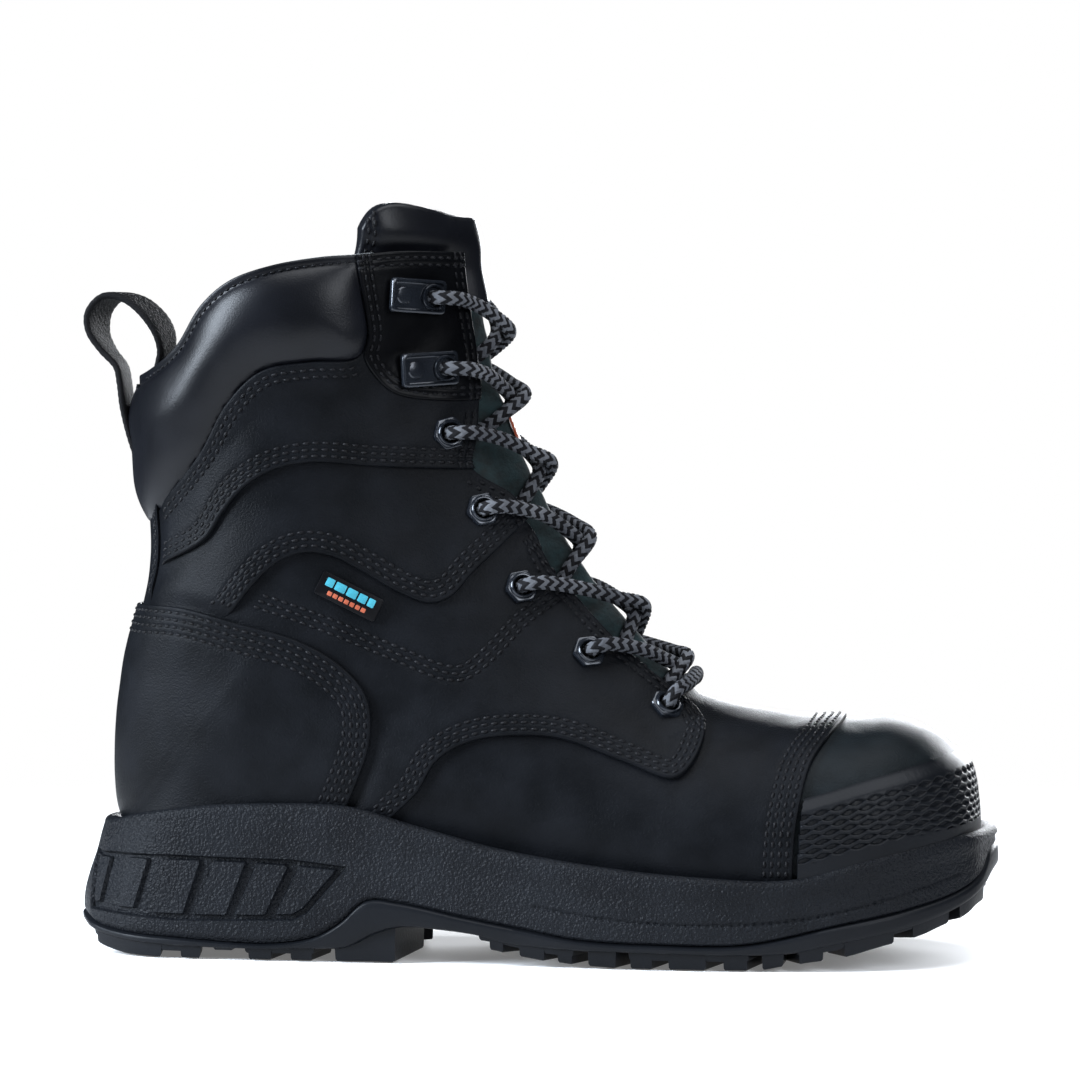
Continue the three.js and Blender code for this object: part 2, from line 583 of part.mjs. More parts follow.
// ---------------------------------------------------------------- tongue and gussets
const TONGUE_THICK = 3.6;
const FLAP_DEPTH = 9.6; // how far the tongue lies below the last surface under the flaps
const tongueDepth = (u, q) => {
  const row = rowAt(u);
  const width = Math.abs(sectionAt(row, q, -1).y - row[4]);
  const middle = lerp(1.5, 4.2, ramp(u, 14, 19));
  return -middle - (FLAP_DEPTH - middle) * ramp(width, 1, 13);
};
const TONGUE_EDGE = [
  [-55, 242], [-60, 222], [-58, 190], [-48, 165], [-35, 140], [-22, 120], [-5, 104], [15, 92], [40, 80],
];
const tongueFront = [[66, 79], [66, 150], [10, 230], [0, PAD_SPLIT_Z]];
const tongueOutline = [...reversed(TONGUE_EDGE), [-55, PAD_SPLIT_Z], ...reversed(tongueFront)];
const tongueLayer = shell(tongueDepth, (u, q) => tongueDepth(u, q) - TONGUE_THICK, 7);
const forefoot = fullWidth([[40, 74], [66, 74], [66, 95], [40, 95]]);
add('tongue', tongueLayer.intersect(fullWidth(tongueOutline)).subtract(forefoot), textile);
const padOutline = [
  [-55, PAD_SPLIT_Z + 1], [-50.5, 246], [-46, 252], [-38, TONGUE_TOP_Z], [-28, TONGUE_TOP_Z - 2],
  [-10, TONGUE_TOP_Z - 6], [0, PAD_SPLIT_Z + 1],
];
const padLayer = shell((u, q) => tongueDepth(u, q) + 0.8, (u, q) => tongueDepth(u, q) - 9, 7);
add('tongue_top_pad', padLayer.intersect(fullWidth(padOutline)), smoothLeather);

const GUSSET_Y = 13.5; // the gusset starts where the tongue has sunk below the flap
const gussetOutline = fullWidth([
  [-52.5, 232], [-52.5, 205], [-56, 188], [-52, 165], [-40, 140], [-27, 120], [-8, 100], [18, 92], [30, 101],
  [12, 118], [-2, 136], [-13, 152], [-29, 163], [-28, 190], [-31, 232],
]);
SIDES.forEach(({ name, sign }) => {
  const halfBox = sign < 0 ? boxSolid(-180, 180, -120, -GUSSET_Y, -20, FAR)
    : boxSolid(-180, 180, GUSSET_Y, 120, -20, FAR);
  add(`gusset_${name}`, layer(-8.1, -9.1).intersect(gussetOutline).intersect(halfBox), textile);
});

// ---------------------------------------------------------------- sole
const SOLE_SEGMENTS = 46; // points round the plan of the sole
const HEEL_LEAN = 7.5; // the back of the heel leans forward this much towards the top
// Outline of the sole in plan; the heel leans in with height.
function solePlan(z, inset) {
  const points = [];
  const heelLean = THREE.MathUtils.clamp((z - 18) / 29, 0, 1) * HEEL_LEAN;
  const half = (side) => SOLE_PLAN.map(([f, outer, inner]) => {
    const x = lerp(SOLE_BACK_X, SOLE_FRONT_X, f);
    const lean = heelLean * (1 - ramp(x, SOLE_BACK_X, -105));
    const y = side < 0 ? -outer : inner;
    const shrink = 1 - inset / 55;
    const centre = f > 0.9 ? SOLE_TIP_Y : 0;
    return vec(x * (1 - inset / 160) + lean, centre + (y - centre) * shrink, z);
  });
  const curve = new THREE.CatmullRomCurve3([...half(-1), ...half(1).slice(1, -1).reverse()], true, 'centripetal');
  for (let k = 0; k < SOLE_SEGMENTS; k += 1) points.push(curve.getPoint(k / SOLE_SEGMENTS));
  return points;
}

function soleBlock(levels) {
  const positions = [];
  const index = [];
  levels.forEach(([z, inset]) => solePlan(z, inset).forEach((p) => positions.push(p.x, p.y, z)));
  const n = SOLE_SEGMENTS;
  for (let k = 0; k < levels.length - 1; k += 1) {
    for (let i = 0; i < n; i += 1) {
      const j = (i + 1) % n;
      const a = k * n;
      const b = (k + 1) * n;
      index.push(a + i, a + j, b + j, a + i, b + j, b + i);
    }
  }
  const flat = solePlan(levels[0][0], levels[0][1]).map((p) => new THREE.Vector2(p.x, p.y));
  const caps = THREE.ShapeUtils.triangulateShape(flat, []);
  const top = (levels.length - 1) * n;
  caps.forEach(([a, b, c]) => {
    index.push(a, c, b);
    index.push(top + a, top + b, top + c);
  });
  return closedSolid(positions, index);
}

const block = soleBlock([[-2, 3], [8, 0.6], [18, 0], [33, 0.6], [47, 1.8], [60, 3]]);
const cup = filled(SOLE_CLEAR, 0.4);
const treadOutline = [...TREAD, ...shiftUp(PARTING, -GAP / 2)];
const midsoleOutline = [...shiftUp(PARTING, GAP / 2), ...reversed(RIM)];
const INSERT = [[-135, 31], [-60, 29], [-60, 35.5], [-90, 36.5], [-135, 37]];
const SHANK = [[-52, 26], [-28, 22], [0, 18], [22, 15.5], [22, 18], [0, 21], [-28, 26], [-52, 31]];
const insertBox = sideSolid(INSERT, -22, 22);
const shankBox = sideSolid(SHANK, -14, 14);
const pocket = (outline, halfWidth) => sideSolid(grow(outline, GAP), -halfWidth - GAP, halfWidth + GAP);
// The insert and the shank drop in from above, so their pockets are open to the foot cavity.
const insertPocket = pocket([...INSERT.slice(0, 2), [-60, 48], [-135, 48]], 22);
const shankPocket = pocket([...SHANK.slice(0, 4), [22, 30], [-52, 42]], 14);
add('midsole', block.intersect(fullWidth(midsoleOutline)).subtract(cup).subtract(insertPocket)
  .subtract(shankPocket), rubber);
const heelBreast = solidOf(plate(
  [[-58, -70], [-20, -70], [-20, 70], [-44, 70], [-44, 0]].map(([x, y]) => new THREE.Vector2(x, y)), [], -5, 11));
add('outsole', block.intersect(fullWidth(treadOutline)).subtract(heelBreast), rubber);
add('anti_fatigue_insert', insertBox.subtract(cup), foam);
add('shank', shankBox.subtract(cup), steelGrey);

// ---------------------------------------------------------------- inside the foot cavity
const FEATHER = STATIONS.slice(0, CLOSED_ROW).map(([bx, bz]) => [bx, bz]).reverse();
const floorAt = (x) => heightAt(FEATHER, x);
const FLOOR_X = [-141, -120, -100, -75, -50, -20, 10, 40, 70, 100, 125, 141];
const floorBand = (low, high) => [
  ...FLOOR_X.map((x) => [x, floorAt(x) + low]),
  ...reversed(FLOOR_X).map((x) => [x, floorAt(x) + high]),
];
const insideLining = filled(-7.3, 0);
const roomyInside = filled(-9.4, 0);
add('insole_board', insideLining.intersect(fullWidth(floorBand(0.3, 2.6))), board);
add('footbed', roomyInside.intersect(fullWidth(floorBand(3.0, 8.5))).intersect(
  boxSolid(-136, 132, -60, 60, 0, 80)), foam);

// ---------------------------------------------------------------- eyelets, hooks, rivets
const FLANGE_LOW = 0.8;
const FLANGE_TOP = 2.2;

function eyelet(hole) {
  const flange = plate(circlePoints(EYELET_FLAT, 6), [circlePoints(EYELET_BORE, ROUND)], FLANGE_LOW, FLANGE_TOP);
  const barrel = plate(circlePoints(EYELET_BORE + 0.5, ROUND), [circlePoints(EYELET_BORE, ROUND)], -3, 1.5);
  const whole = solidOf(flange).add(solidOf(barrel));
  return placed(geometryOf(whole), hole.at, hole.normal, vec(1, 0, 0));
}

const HOOK_FRONT = 5; // the plate reaches this far past its lace hole
const HOOK_REAR = -16;
const HOOK_HALF = 5.8; // half width
const HOOK_LOW = 1.2;
const HOOK_HIGH = 3.2;
function hookPlate(hook, hole) {
  const cut = 1.6;
  const outline = [
    [HOOK_REAR, -HOOK_HALF + cut], [HOOK_REAR + cut, -HOOK_HALF], [HOOK_FRONT - cut, -HOOK_HALF],
    [HOOK_FRONT, -HOOK_HALF + cut], [HOOK_FRONT, HOOK_HALF - cut], [HOOK_FRONT - cut, HOOK_HALF],
    [HOOK_REAR + cut, HOOK_HALF], [HOOK_REAR, HOOK_HALF - cut],
  ].map(([x, y]) => new THREE.Vector2(x, y));
  const bore = circlePoints(EYELET_BORE, ROUND);
  const ring = circlePoints(RIVET_SHANK_R + GAP, ROUND);
  const rivetHole = ring.map((p) => new THREE.Vector2(p.x - RIVET_REACH, p.y));
  const body = plate(outline, [bore, rivetHole], HOOK_LOW, HOOK_HIGH);
  const barrel = plate(circlePoints(EYELET_BORE + 0.5, ROUND), [bore], -3, HOOK_LOW + 0.5);
  const whole = solidOf(body).add(solidOf(barrel));
  return placed(geometryOf(whole), hole.at, hole.normal, hookForward(hook, hole));
}

function rivet(hook, hole) {
  const head = plate(circlePoints(3.2, ROUND), [], HOOK_HIGH + GAP, HOOK_HIGH + 1.4);
  const shank = plate(circlePoints(RIVET_SHANK_R, ROUND), [], -1.6, HOOK_HIGH + 0.8);
  const whole = geometryOf(solidOf(head).add(solidOf(shank)));
  return placed(whole, rivetCentre(hook, hole), hole.normal, vec(1, 0, 0));
}

SIDES.forEach(({ name }) => {
  HOLES[name].slice(0, EYELETS.length).forEach((hole, i) => {
    add(`eyelet_${name}_${i + 1}`, eyelet(hole), blackNickel);
  });
  HOOKS.forEach((hook, i) => {
    const hole = HOLES[name][EYELETS.length + i];
    add(`lace_hook_${name}_${i + 1}`, hookPlate(hook, hole), blackNickel);
    add(`hook_rivet_${name}_${i + 1}`, rivet(hook, hole), blackNickel);
  });
});

// ---------------------------------------------------------------- lace
// A curve whose steps follow its own points, so bends get as many steps as their points.
class RouteCurve extends THREE.CatmullRomCurve3 {
  getUtoTmapping(u) {
    return u;
  }
}

const CROSS_LIFT = 4.4; // the upper of two crossing strands rides this much higher
// Points over the hole rim, down the bore and out under the flap.
function throughHole(hole, from, to) {
  const flat = (target) => {
    const d = target.clone().sub(hole.at);
    return d.addScaledVector(hole.normal, -d.dot(hole.normal)).normalize();
  };
  const inward = flat(from);
  const outward = flat(to);
  const rise = hole.hook ? 1.2 : 0;
  const put = (direction, along, height) =>
    hole.at.clone().addScaledVector(direction, along).addScaledVector(hole.normal, height);
  return [
    put(inward, 7.5, 5.0 + rise), put(inward, 4, 5.4 + rise), put(inward, 1.2, 4.4 + rise), put(inward, 0, 2),
    put(inward, 0, -1.6), put(outward, 1.2, -4.2), put(outward, 4.2, -5.3),
  ];
}

const FRONT_ROW = 7; // from this station up the ridge is the front of the boot
// Place on the front of the boot at a given height and sideways position.
function placeAtFront(z, y) {
  const sign = y < 0 ? -1 : 1;
  let low = FRONT_ROW;
  let high = LAST_ROW;
  for (let k = 0; k < 30; k += 1) {
    const mid = (low + high) / 2;
    if (sectionAt(rowAt(mid), placeAtWidth(mid, Math.abs(y), sign), sign).z < z) low = mid;
    else high = mid;
  }
  return { u: low, q: placeAtWidth(low, Math.abs(y), sign), sign };
}

// Steps of a strand from under one flap, over the tongue, to above the other flap: share of the way
// across, share of the climb, and how far it has risen from the tongue to the top of the flap.
const CROSS_STEPS = [[0.22, 0.12, 0], [0.36, 0.32, 0], [0.5, 0.5, 0.15], [0.64, 0.72, 0.75], [0.78, 0.9, 1]];
const OVER_FLAP = 3.2;
const LOW_START = 0.3; // the lowest strands climb by this share first, clear of the throat's corner
function crossing(from, to, lifted, start) {
  return CROSS_STEPS.map(([t, climb, rise]) => {
    const height = lerp(from.at.z, to.at.z, lerp(climb, 1, start));
    const { u, q, sign } = placeAtFront(height, lerp(from.at.y, to.at.y, t));
    const rest = tongueDepth(u, q) + LACE_R + 1.0;
    const hump = lifted ? CROSS_LIFT * (1 - Math.min(Math.abs(t - 0.5) / 0.26, 1)) : 0;
    return surfacePoint(u, q, sign, lerp(rest, OVER_FLAP, rise) + hump);
  });
}

const withHooks = (holes) => holes.map((hole, i) => ({ ...hole, hook: i >= EYELETS.length }));
const outerHoles = withHooks(HOLES.lateral);
const innerHoles = withHooks(HOLES.medial);
// One half of the lace zigzags up from a bottom hole to the hook on the other side or the same.
function zigzag(first, second) {
  return first.map((hole, i) => (i % 2 === 0 ? hole : second[i]));
}
function halfLace(holes, other, lifted) {
  const points = [];
  holes.forEach((hole, i) => {
    const ridge = placeAtFront(hole.at.z - 1, hole.sign * 4);
    const front = surfacePoint(ridge.u, ridge.q, ridge.sign, 0);
    const from = i === 0 ? other[0].at : front;
    const below = hole.at.clone().add(vec(-2, 0, -20));
    let to = i < holes.length - 1 ? front.clone().add(vec(0, 0, 9)) : below;
    if (i === 0) to = holes[1].at;
    const through = throughHole(hole, from, to);
    points.push(...(i === 0 ? through.slice(1) : through));
    if (i < holes.length - 1) points.push(...crossing(hole, holes[i + 1], lifted, i === 0 ? LOW_START : 0));
  });
  return points;
}
const strandA = halfLace(zigzag(outerHoles, innerHoles), innerHoles, true);
const strandB = halfLace(zigzag(innerHoles, outerHoles), outerHoles, false);

// The loose end lies under the flap, just above the tongue.
function tuckedEnd(hole, count) {
  const [x, z] = HOOKS[1].hole;
  return Array.from({ length: count }, (_, k) => {
    const place = placeOnSide(x - 1.5 - 1.3 * k, z - 9 - 9 * k, hole.sign);
    return surfacePoint(place.u, place.q, hole.sign, -5.3);
  });
}
const lastA = zigzag(outerHoles, innerHoles)[6];
const lastB = zigzag(innerHoles, outerHoles)[6];
const TUCK_POINTS = 3;
const endA = tuckedEnd(lastA, TUCK_POINTS);
const endB = tuckedEnd(lastB, TUCK_POINTS);
const bar = [-0.5, 0, 0.5].map((t) => {
  const u = outerHoles[0].u - 0.15;
  const sign = t < 0 ? -1 : 1;
  const q = placeAtWidth(u, Math.abs(t) * 24, sign);
  return surfacePoint(u, q, sign, 4.6);
});
const route = [...reversed(endA), ...reversed(strandA), ...bar, ...strandB, ...endB];
const laceCurve = new RouteCurve(route, false, 'centripetal');
const ringShape = new THREE.Shape(circlePoints(LACE_R, 8));
add('lace', new THREE.ExtrudeGeometry(ringShape, {
  steps: route.length - 1, extrudePath: laceCurve, bevelEnabled: false,
}), cordBlack);

const AGLET_LONG = 16;
[['lateral', endA], ['medial', endB]].forEach(([name, end]) => {
  const tip = end[end.length - 1];
  const direction = tip.clone().sub(end[end.length - 2]).normalize();
  const start = tip.clone().addScaledVector(direction, GAP);
  const tube = plate(circlePoints(1.7, 8), [], 0, AGLET_LONG);
  add(`aglet_${name}`, placed(tube, start, direction, vec(0, 1, 0)), labelBlack);
});

// ---------------------------------------------------------------- pull loop, labels
const WEB_THICK = 2.0;
const WEB_HALF = 10;
function strap(points, y0, y1, closed) {
  const curve = new THREE.CatmullRomCurve3(points.map(([x, z]) => vec(x, 0, z)), closed, 'centripetal');
  const count = points.length * 3;
  const line = [];
  for (let k = 0; k <= count - (closed ? 1 : 0); k += 1) {
    const t = k / count;
    const p = curve.getPoint(t);
    const d = curve.getTangent(t);
    line.push({ p, side: vec(d.z, 0, -d.x) });
  }
  const edge = (s) => line.map(({ p, side }) => [p.x + side.x * s, p.z + side.z * s]);
  const half = WEB_THICK / 2;
  if (!closed) return sideSolid([...edge(half), ...reversed(edge(-half))], y0, y1);
  const outer = sideSolid(edge(-half), y0, y1);
  const inner = sideSolid(edge(half), y0 - 1, y1 + 1);
  return outer.volume() > inner.volume() * 0.9 ? outer.subtract(inner) : inner.subtract(outer);
}
const LOOP = [
  [-141, 203.5], [-147.5, 207], [-152.5, 213], [-150, 221.5], [-144, 224.5], [-135, 219.5], [-130, 211],
  [-132.5, 204.5],
];
const LOOP_BASE = [[-140.6, 176], [-142.7, 185], [-142.6, 193], [-141.8, 199]];
add('pull_loop', strap(LOOP, -WEB_HALF, WEB_HALF, true), webbing);
add('pull_loop_base', strap(LOOP_BASE, -WEB_HALF, WEB_HALF, false), webbing);

const TAB_CORNERS = [[-69, 131], [-49, 121], [-52, 114], [-71.5, 124]];
const TAB_DEEP = 8.2;
function sideTab() {
  const corners = TAB_CORNERS.map(([x, z]) => {
    const place = placeOnSide(x, z, -1);
    return surfacePoint(place.u, place.q, -1, 0);
  });
  const [a, b, , d] = corners;
  const along = b.clone().sub(a);
  const down = d.clone().sub(a);
  const normal = along.clone().cross(down).normalize();
  if (normal.y > 0) normal.negate();
  const wide = along.length();
  const outline = [[0, 0], [wide, 0], [wide, TAB_DEEP], [0, TAB_DEEP]];
  const upward = normal.clone().cross(along).normalize();
  const flipped = upward.dot(down) < 0;
  const base = plate(outline.map(([x, y]) => new THREE.Vector2(x, flipped ? -y : y)), [], 1.1, 2.3);
  return placed(base, a, normal, along);
}
add('side_tab', sideTab(), labelBlack);

const tongueTabPlace = { u: placeOnSide(-9, 172, -1).u, q: 2 };
const tongueTabAt = surfacePoint(tongueTabPlace.u, 2, -1, -1.2);
const tongueTab = plate([[-4, -3], [4, -3], [4, 3], [-4, 3]].map(([x, y]) => new THREE.Vector2(x, y)), [], 0, 0.9);
add('tongue_tab', placed(tongueTab, tongueTabAt, surfaceNormal(tongueTabPlace.u, 2, -1), vec(0, 0, 1)), labelRed);

export default group;
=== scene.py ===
import json
import math

import bmesh
import bpy
import numpy as np
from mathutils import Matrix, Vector
from mathutils.bvhtree import BVHTree

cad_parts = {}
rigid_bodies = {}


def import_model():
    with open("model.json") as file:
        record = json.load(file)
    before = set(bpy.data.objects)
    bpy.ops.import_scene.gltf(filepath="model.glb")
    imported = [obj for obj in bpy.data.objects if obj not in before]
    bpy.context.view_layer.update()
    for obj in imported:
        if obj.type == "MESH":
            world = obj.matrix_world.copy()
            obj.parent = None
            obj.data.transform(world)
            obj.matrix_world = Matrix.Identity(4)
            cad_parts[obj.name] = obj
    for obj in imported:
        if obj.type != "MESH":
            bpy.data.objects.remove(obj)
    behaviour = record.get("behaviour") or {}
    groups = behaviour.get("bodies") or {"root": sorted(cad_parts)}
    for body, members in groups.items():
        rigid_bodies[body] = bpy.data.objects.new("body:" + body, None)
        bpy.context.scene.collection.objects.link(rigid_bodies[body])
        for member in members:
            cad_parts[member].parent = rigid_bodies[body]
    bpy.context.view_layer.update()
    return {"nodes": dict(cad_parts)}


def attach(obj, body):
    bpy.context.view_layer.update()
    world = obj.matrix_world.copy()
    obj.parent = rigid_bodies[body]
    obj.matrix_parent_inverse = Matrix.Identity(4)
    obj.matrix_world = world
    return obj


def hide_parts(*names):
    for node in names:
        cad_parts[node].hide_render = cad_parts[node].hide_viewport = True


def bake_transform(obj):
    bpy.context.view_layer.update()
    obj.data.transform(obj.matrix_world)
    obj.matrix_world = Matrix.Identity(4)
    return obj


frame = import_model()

# Eight-inch lace-up safety boot, right foot. Lengths in this file are millimetres until a mesh is made.
# +X is the toe, -Y the outer side, +Z up.
MM = 0.001
BOOT = "boot"

# ------------------------------------------------------------------ the last
# Stations from toe to collar: base x, z; ridge x, z; ridge y; base y outer, inner; widest y outer,
# inner; place of the widest line; roundness of the ridge.
STATIONS = np.array([
    [145.5, 31.5, 145.8, 32.5, 5, 5, 5, 5, 5, 0.20, 0.55],
    [144.5, 31, 146, 40.5, 5, -7, 16, -8, 17, 0.20, 0.58],
    [141.5, 30, 145.5, 52, 5, -18, 26, -19, 27, 0.20, 0.60],
    [135, 28.5, 143, 64, 4.5, -28, 34.5, -30, 36, 0.20, 0.64],
    [126, 26, 135, 73.5, 4, -36.5, 41, -39, 43, 0.20, 0.70],
    [114, 23.5, 122.5, 78.5, 3.5, -42.5, 45.5, -46, 48, 0.20, 0.72],
    [98, 20.5, 106, 79.5, 3, -47, 48.5, -50.5, 51.5, 0.22, 0.70],
    [78, 19, 86, 81.5, 2, -49, 49.5, -53, 52.5, 0.25, 0.64],
    [55, 20, 67, 84.5, 1, -49, 46.5, -52.5, 49.5, 0.25, 0.56],
    [30, 23.5, 52.5, 90, 0.5, -46, 41, -49.5, 45, 0.26, 0.48],
    [5, 27.5, 39, 105, 0, -42.5, 36.5, -46, 41, 0.27, 0.43],
    [-22, 32.5, 24.5, 121.5, 0, -39.5, 34, -43, 39, 0.28, 0.42],
    [-50, 37, 12.5, 137.5, 0, -37.5, 34, -41, 38.5, 0.29, 0.43],
    [-80, 40, 2.5, 155.5, 0, -36.5, 35.5, -40, 39, 0.30, 0.46],
    [-108, 41.5, -5, 171, 0, -34, 34, -39, 38.5, 0.32, 0.48],
    [-129, 42, -10.5, 186.5, 0, -26, 26, -38.5, 38, 0.36, 0.50],
    [-140, 42, -13.5, 196.5, 0, -13, 13, -38, 37.5, 0.40, 0.51],
    [-143.5, 44, -14, 205.5, 0, 0, 0, -37.5, 37.5, 0.42, 0.52],
    [-146, 54.5, -15, 213.5, 0, 0, 0, -37, 37, 0.44, 0.52],
    [-146, 74.5, -16.5, 221.5, 0, 0, 0, -37, 37, 0.46, 0.53],
    [-143, 98.5, -18, 229, 0, 0, 0, -37, 37, 0.47, 0.53],
    [-137, 118.5, -19.5, 236, 0, 0, 0, -37.5, 37.5, 0.47, 0.54],
    [-134.5, 134.5, -20.5, 242.5, 0, 0, 0, -38.5, 38.5, 0.47, 0.54],
    [-135, 151.5, -21, 248.5, 0, 0, 0, -39.5, 39.5, 0.47, 0.54],
    [-136.5, 169.5, -21.5, 254.5, 0, 0, 0, -40.5, 40.5, 0.47, 0.54],
    [-138.5, 186.5, -22, 260.5, 0, 0, 0, -41.5, 41.5, 0.47, 0.54],
    [-139, 204.5, -22.5, 266.5, 0, 0, 0, -42.5, 42.5, 0.47, 0.54],
    [-139, 222.5, -23, 272.5, 0, 0, 0, -43, 43, 0.47, 0.54],
])
LAST = len(STATIONS) - 1
CLOSED = 17  # from this station up the section closes at the back seam

# Side outlines (x, z).
COLLAR_TOP = [[-146, 195], [-134, 198], [-122, 206], [-112, 220], [-102, 228], [-88, 233], [-70, 236],
              [-58, 237], [-44, 238.4], [-28, 238.4]]
COLLAR_SEAM = [[-58, 237], [-56, 222], [-54.5, 210], [-58, 202.5], [-74, 201], [-90, 198], [-102, 187],
               [-112, 170], [-126, 154], [-134, 146], [-146, 140]]
SHAFT_LOW = [[-127, 132], [-110, 141], [-103, 151], [-96, 159], [-86, 165], [-74, 167.5], [-51, 166],
             [-27, 165], [-20, 165]]
MID_LOW = [[-127, 110], [-104, 114], [-94, 125], [-86, 133], [-77, 137], [-67, 136], [-57, 131],
           [-45, 124], [-34, 120], [-27, 122], [-20, 130], [-11, 139], [0, 151]]
THROAT = [[-27, 262], [-24.5, 238], [-22.5, 222], [-19, 195], [-20, 175], [-21, 166], [-8, 156],
          [-2, 146], [4, 133], [14, 121], [25, 109], [37, 98], [47, 89.5], [55, 83.5]]
VAMP_LINE = [[-60, 30], [-46, 48], [-37, 57], [-30, 68], [-19, 74], [-6, 76], [11, 75], [31, 68],
             [49, 62], [54, 65], [58, 72], [58.5, 79], [55, 83.5]]
COUNTER_TOP = [[-160, 117], [-137, 118], [-119, 118], [-98, 113], [-77, 107], [-62, 98], [-54, 88],
               [-53, 74], [-58, 59], [-63, 48], [-72, 30]]
TOE_SEAM = [[104, 95], [105, 81], [101, 76], [95, 67], [92, 56], [90, 43], [89, 10]]
BUMPER_TOP = [[80, 52.6], [98, 57], [115, 61.5], [131, 65.5], [145, 68.5], [160, 71]]
QUARTER_SEAM = [[-92, 121], [-77, 116], [-61, 110], [-44, 103], [-28, 97], [-22, 97], [-13, 104],
                [-4, 114], [5, 121]]
FACING_EDGE = [[-58, 252], [-58, 237], [-56, 222], [-54.5, 210], [-56, 203.5], [-53, 197], [-46, 190.5],
               [-30, 188], [-10, 189]]
BACKSTAY_EDGE = [[-132.5, 108], [-131.5, 120], [-128.5, 134], [-129, 151], [-132, 170], [-136, 193],
                 [-138, 205]]
LINING_EDGE = [[-52, 262], [-51, 222], [-47, 195], [-46.5, 175], [-41, 158], [-25, 140], [-13, 122],
               [4, 104], [32, 84], [60, 68]]
TONGUE_EDGE = [[-55, 252], [-55, 242], [-60, 222], [-58, 190], [-48, 165], [-35, 140], [-22, 120],
               [-5, 104], [15, 92], [40, 80]]
PAD_TOP = [[-66, 226], [-57.5, 239], [-53.5, 248], [-49.5, 252.8], [-44, 254.5], [-34, 253.6], [-26, 251.8],
           [-18, 249.8], [-5, 247]]
RIM = [[-170, 44], [-150, 46], [-142, 48], [-118, 51], [-95, 52.5], [-61, 52], [-42, 47], [-25, 42.5],
       [-8, 38.5], [26, 33.5], [59, 30.7], [89, 30.2], [112, 36], [134, 41], [150, 43.5], [170, 45]]
PARTING = [[-170, 16], [-158, 13], [-148, 9], [-118, 6.5], [-87, 5.5], [-72, 8], [-63, 13], [-54, 20.5],
           [-43, 20], [-20, 15.5], [0, 12], [18, 9], [45, 8], [75, 8.5], [103, 14.5], [127, 19.5],
           [144, 24.5], [151, 29], [156, 38], [170, 39]]
ROOT = [[-170, 14], [-157, 10], [-150, 7], [-126, 4.2], [-70, 4], [-61, 4.6], [-52, 9], [-43, 11.8],
        [-28, 11.2], [-15, 9.5], [-8, 7.5], [16, 5.6], [33, 5.4], [89, 5.6], [101, 8], [116, 11],
        [135, 15.8], [146, 20.5], [152, 25], [157, 31], [170, 33]]
GROUND = [[-170, 14], [-157, 8], [-152, 4], [-143, 1], [-126, 0], [-44, 0], [-28, 6], [-11, 5],
          [-1, 3], [16, 1], [34, 0], [76, 0], [93, 2.5], [101, 3.5], [116, 7], [135, 12], [146, 16.5],
          [154, 21.5], [170, 30]]
EYELETS = [[45, 85], [19, 103], [-4, 125], [-17.5, 151], [-29, 177]]
HOOKS = [([-31, 199], [-46, 198]), ([-35, 223], [-50, 224])]  # lace hole, rear end
SIDES = [("lateral", -1), ("medial", 1)]
FAR = 50.0  # a distance that counts as far from everything
RUN_ON = 150.0  # side curves run straight on by this much at both ends
CHUNK = 6000  # vertices measured at a time, to keep the tables small
HALVINGS = 34  # steps of a search by halving


def catmull(rows, place):
    """Values of a table of rows at fractional places, by Catmull-Rom."""
    rows = np.asarray(rows, float)
    last = len(rows) - 1
    place = np.clip(np.asarray(place, float), 0, last)
    i = np.minimum(np.floor(place).astype(int), last - 1)
    f = (place - i)[..., None]
    a, b, c, d = (rows[np.clip(i + k, 0, last)] for k in (-1, 0, 1, 2))
    square = (2 * a - 5 * b + 4 * c - d) * f ** 2
    return 0.5 * (2 * b + (c - a) * f + square + (3 * b - a - 3 * c + d) * f ** 3)


def spline(points, step):
    """A smooth polyline through points, centripetal Catmull-Rom, with steps of about the given length."""
    p = np.asarray(points, float)
    p = np.vstack([2 * p[0] - p[1], p, 2 * p[-1] - p[-2]])
    gaps = np.maximum(np.linalg.norm(np.diff(p, axis=0), axis=1), 1e-6)
    knots = np.concatenate([[0], np.cumsum(gaps ** 0.5)])
    out = []
    for k in range(1, len(p) - 2):
        count = max(int(np.linalg.norm(p[k + 1] - p[k]) / step), 1)
        t0, t1, t2, t3 = knots[k - 1:k + 3]
        t = (t1 + (t2 - t1) * np.arange(count) / count)[:, None]
        a1 = (t1 - t) / (t1 - t0) * p[k - 1] + (t - t0) / (t1 - t0) * p[k]
        a2 = (t2 - t) / (t2 - t1) * p[k] + (t - t1) / (t2 - t1) * p[k + 1]
        a3 = (t3 - t) / (t3 - t2) * p[k + 1] + (t - t2) / (t3 - t2) * p[k + 2]
        b1 = (t2 - t) / (t2 - t0) * a1 + (t - t0) / (t2 - t0) * a2
        b2 = (t3 - t) / (t3 - t1) * a2 + (t - t1) / (t3 - t1) * a3
        out.append((t2 - t) / (t2 - t1) * b1 + (t - t1) / (t2 - t1) * b2)
    out.append(p[-2:-1])
    return np.vstack(out)


def travel_along(points):
    """Distance along a polyline at each of its points."""
    return np.concatenate([[0], np.cumsum(np.linalg.norm(np.diff(points, axis=0), axis=1))])


def columns_at(at, places, table):
    """Each column of a table, given at some places, read at others."""
    return np.stack([np.interp(at, places, column) for column in table.T], 1)


def height_at(curve, x):
    """Height of a smooth side curve at x."""
    line = spline(curve, 1.0)
    return np.interp(x, line[:, 0], line[:, 1])


def unit(v):
    return v / np.maximum(np.linalg.norm(v, axis=-1, keepdims=True), 1e-9)


def smooth(x, low=0.0, high=1.0):
    t = np.clip((np.asarray(x, float) - low) / (high - low), 0, 1)
    return t * t * (3 - 2 * t)


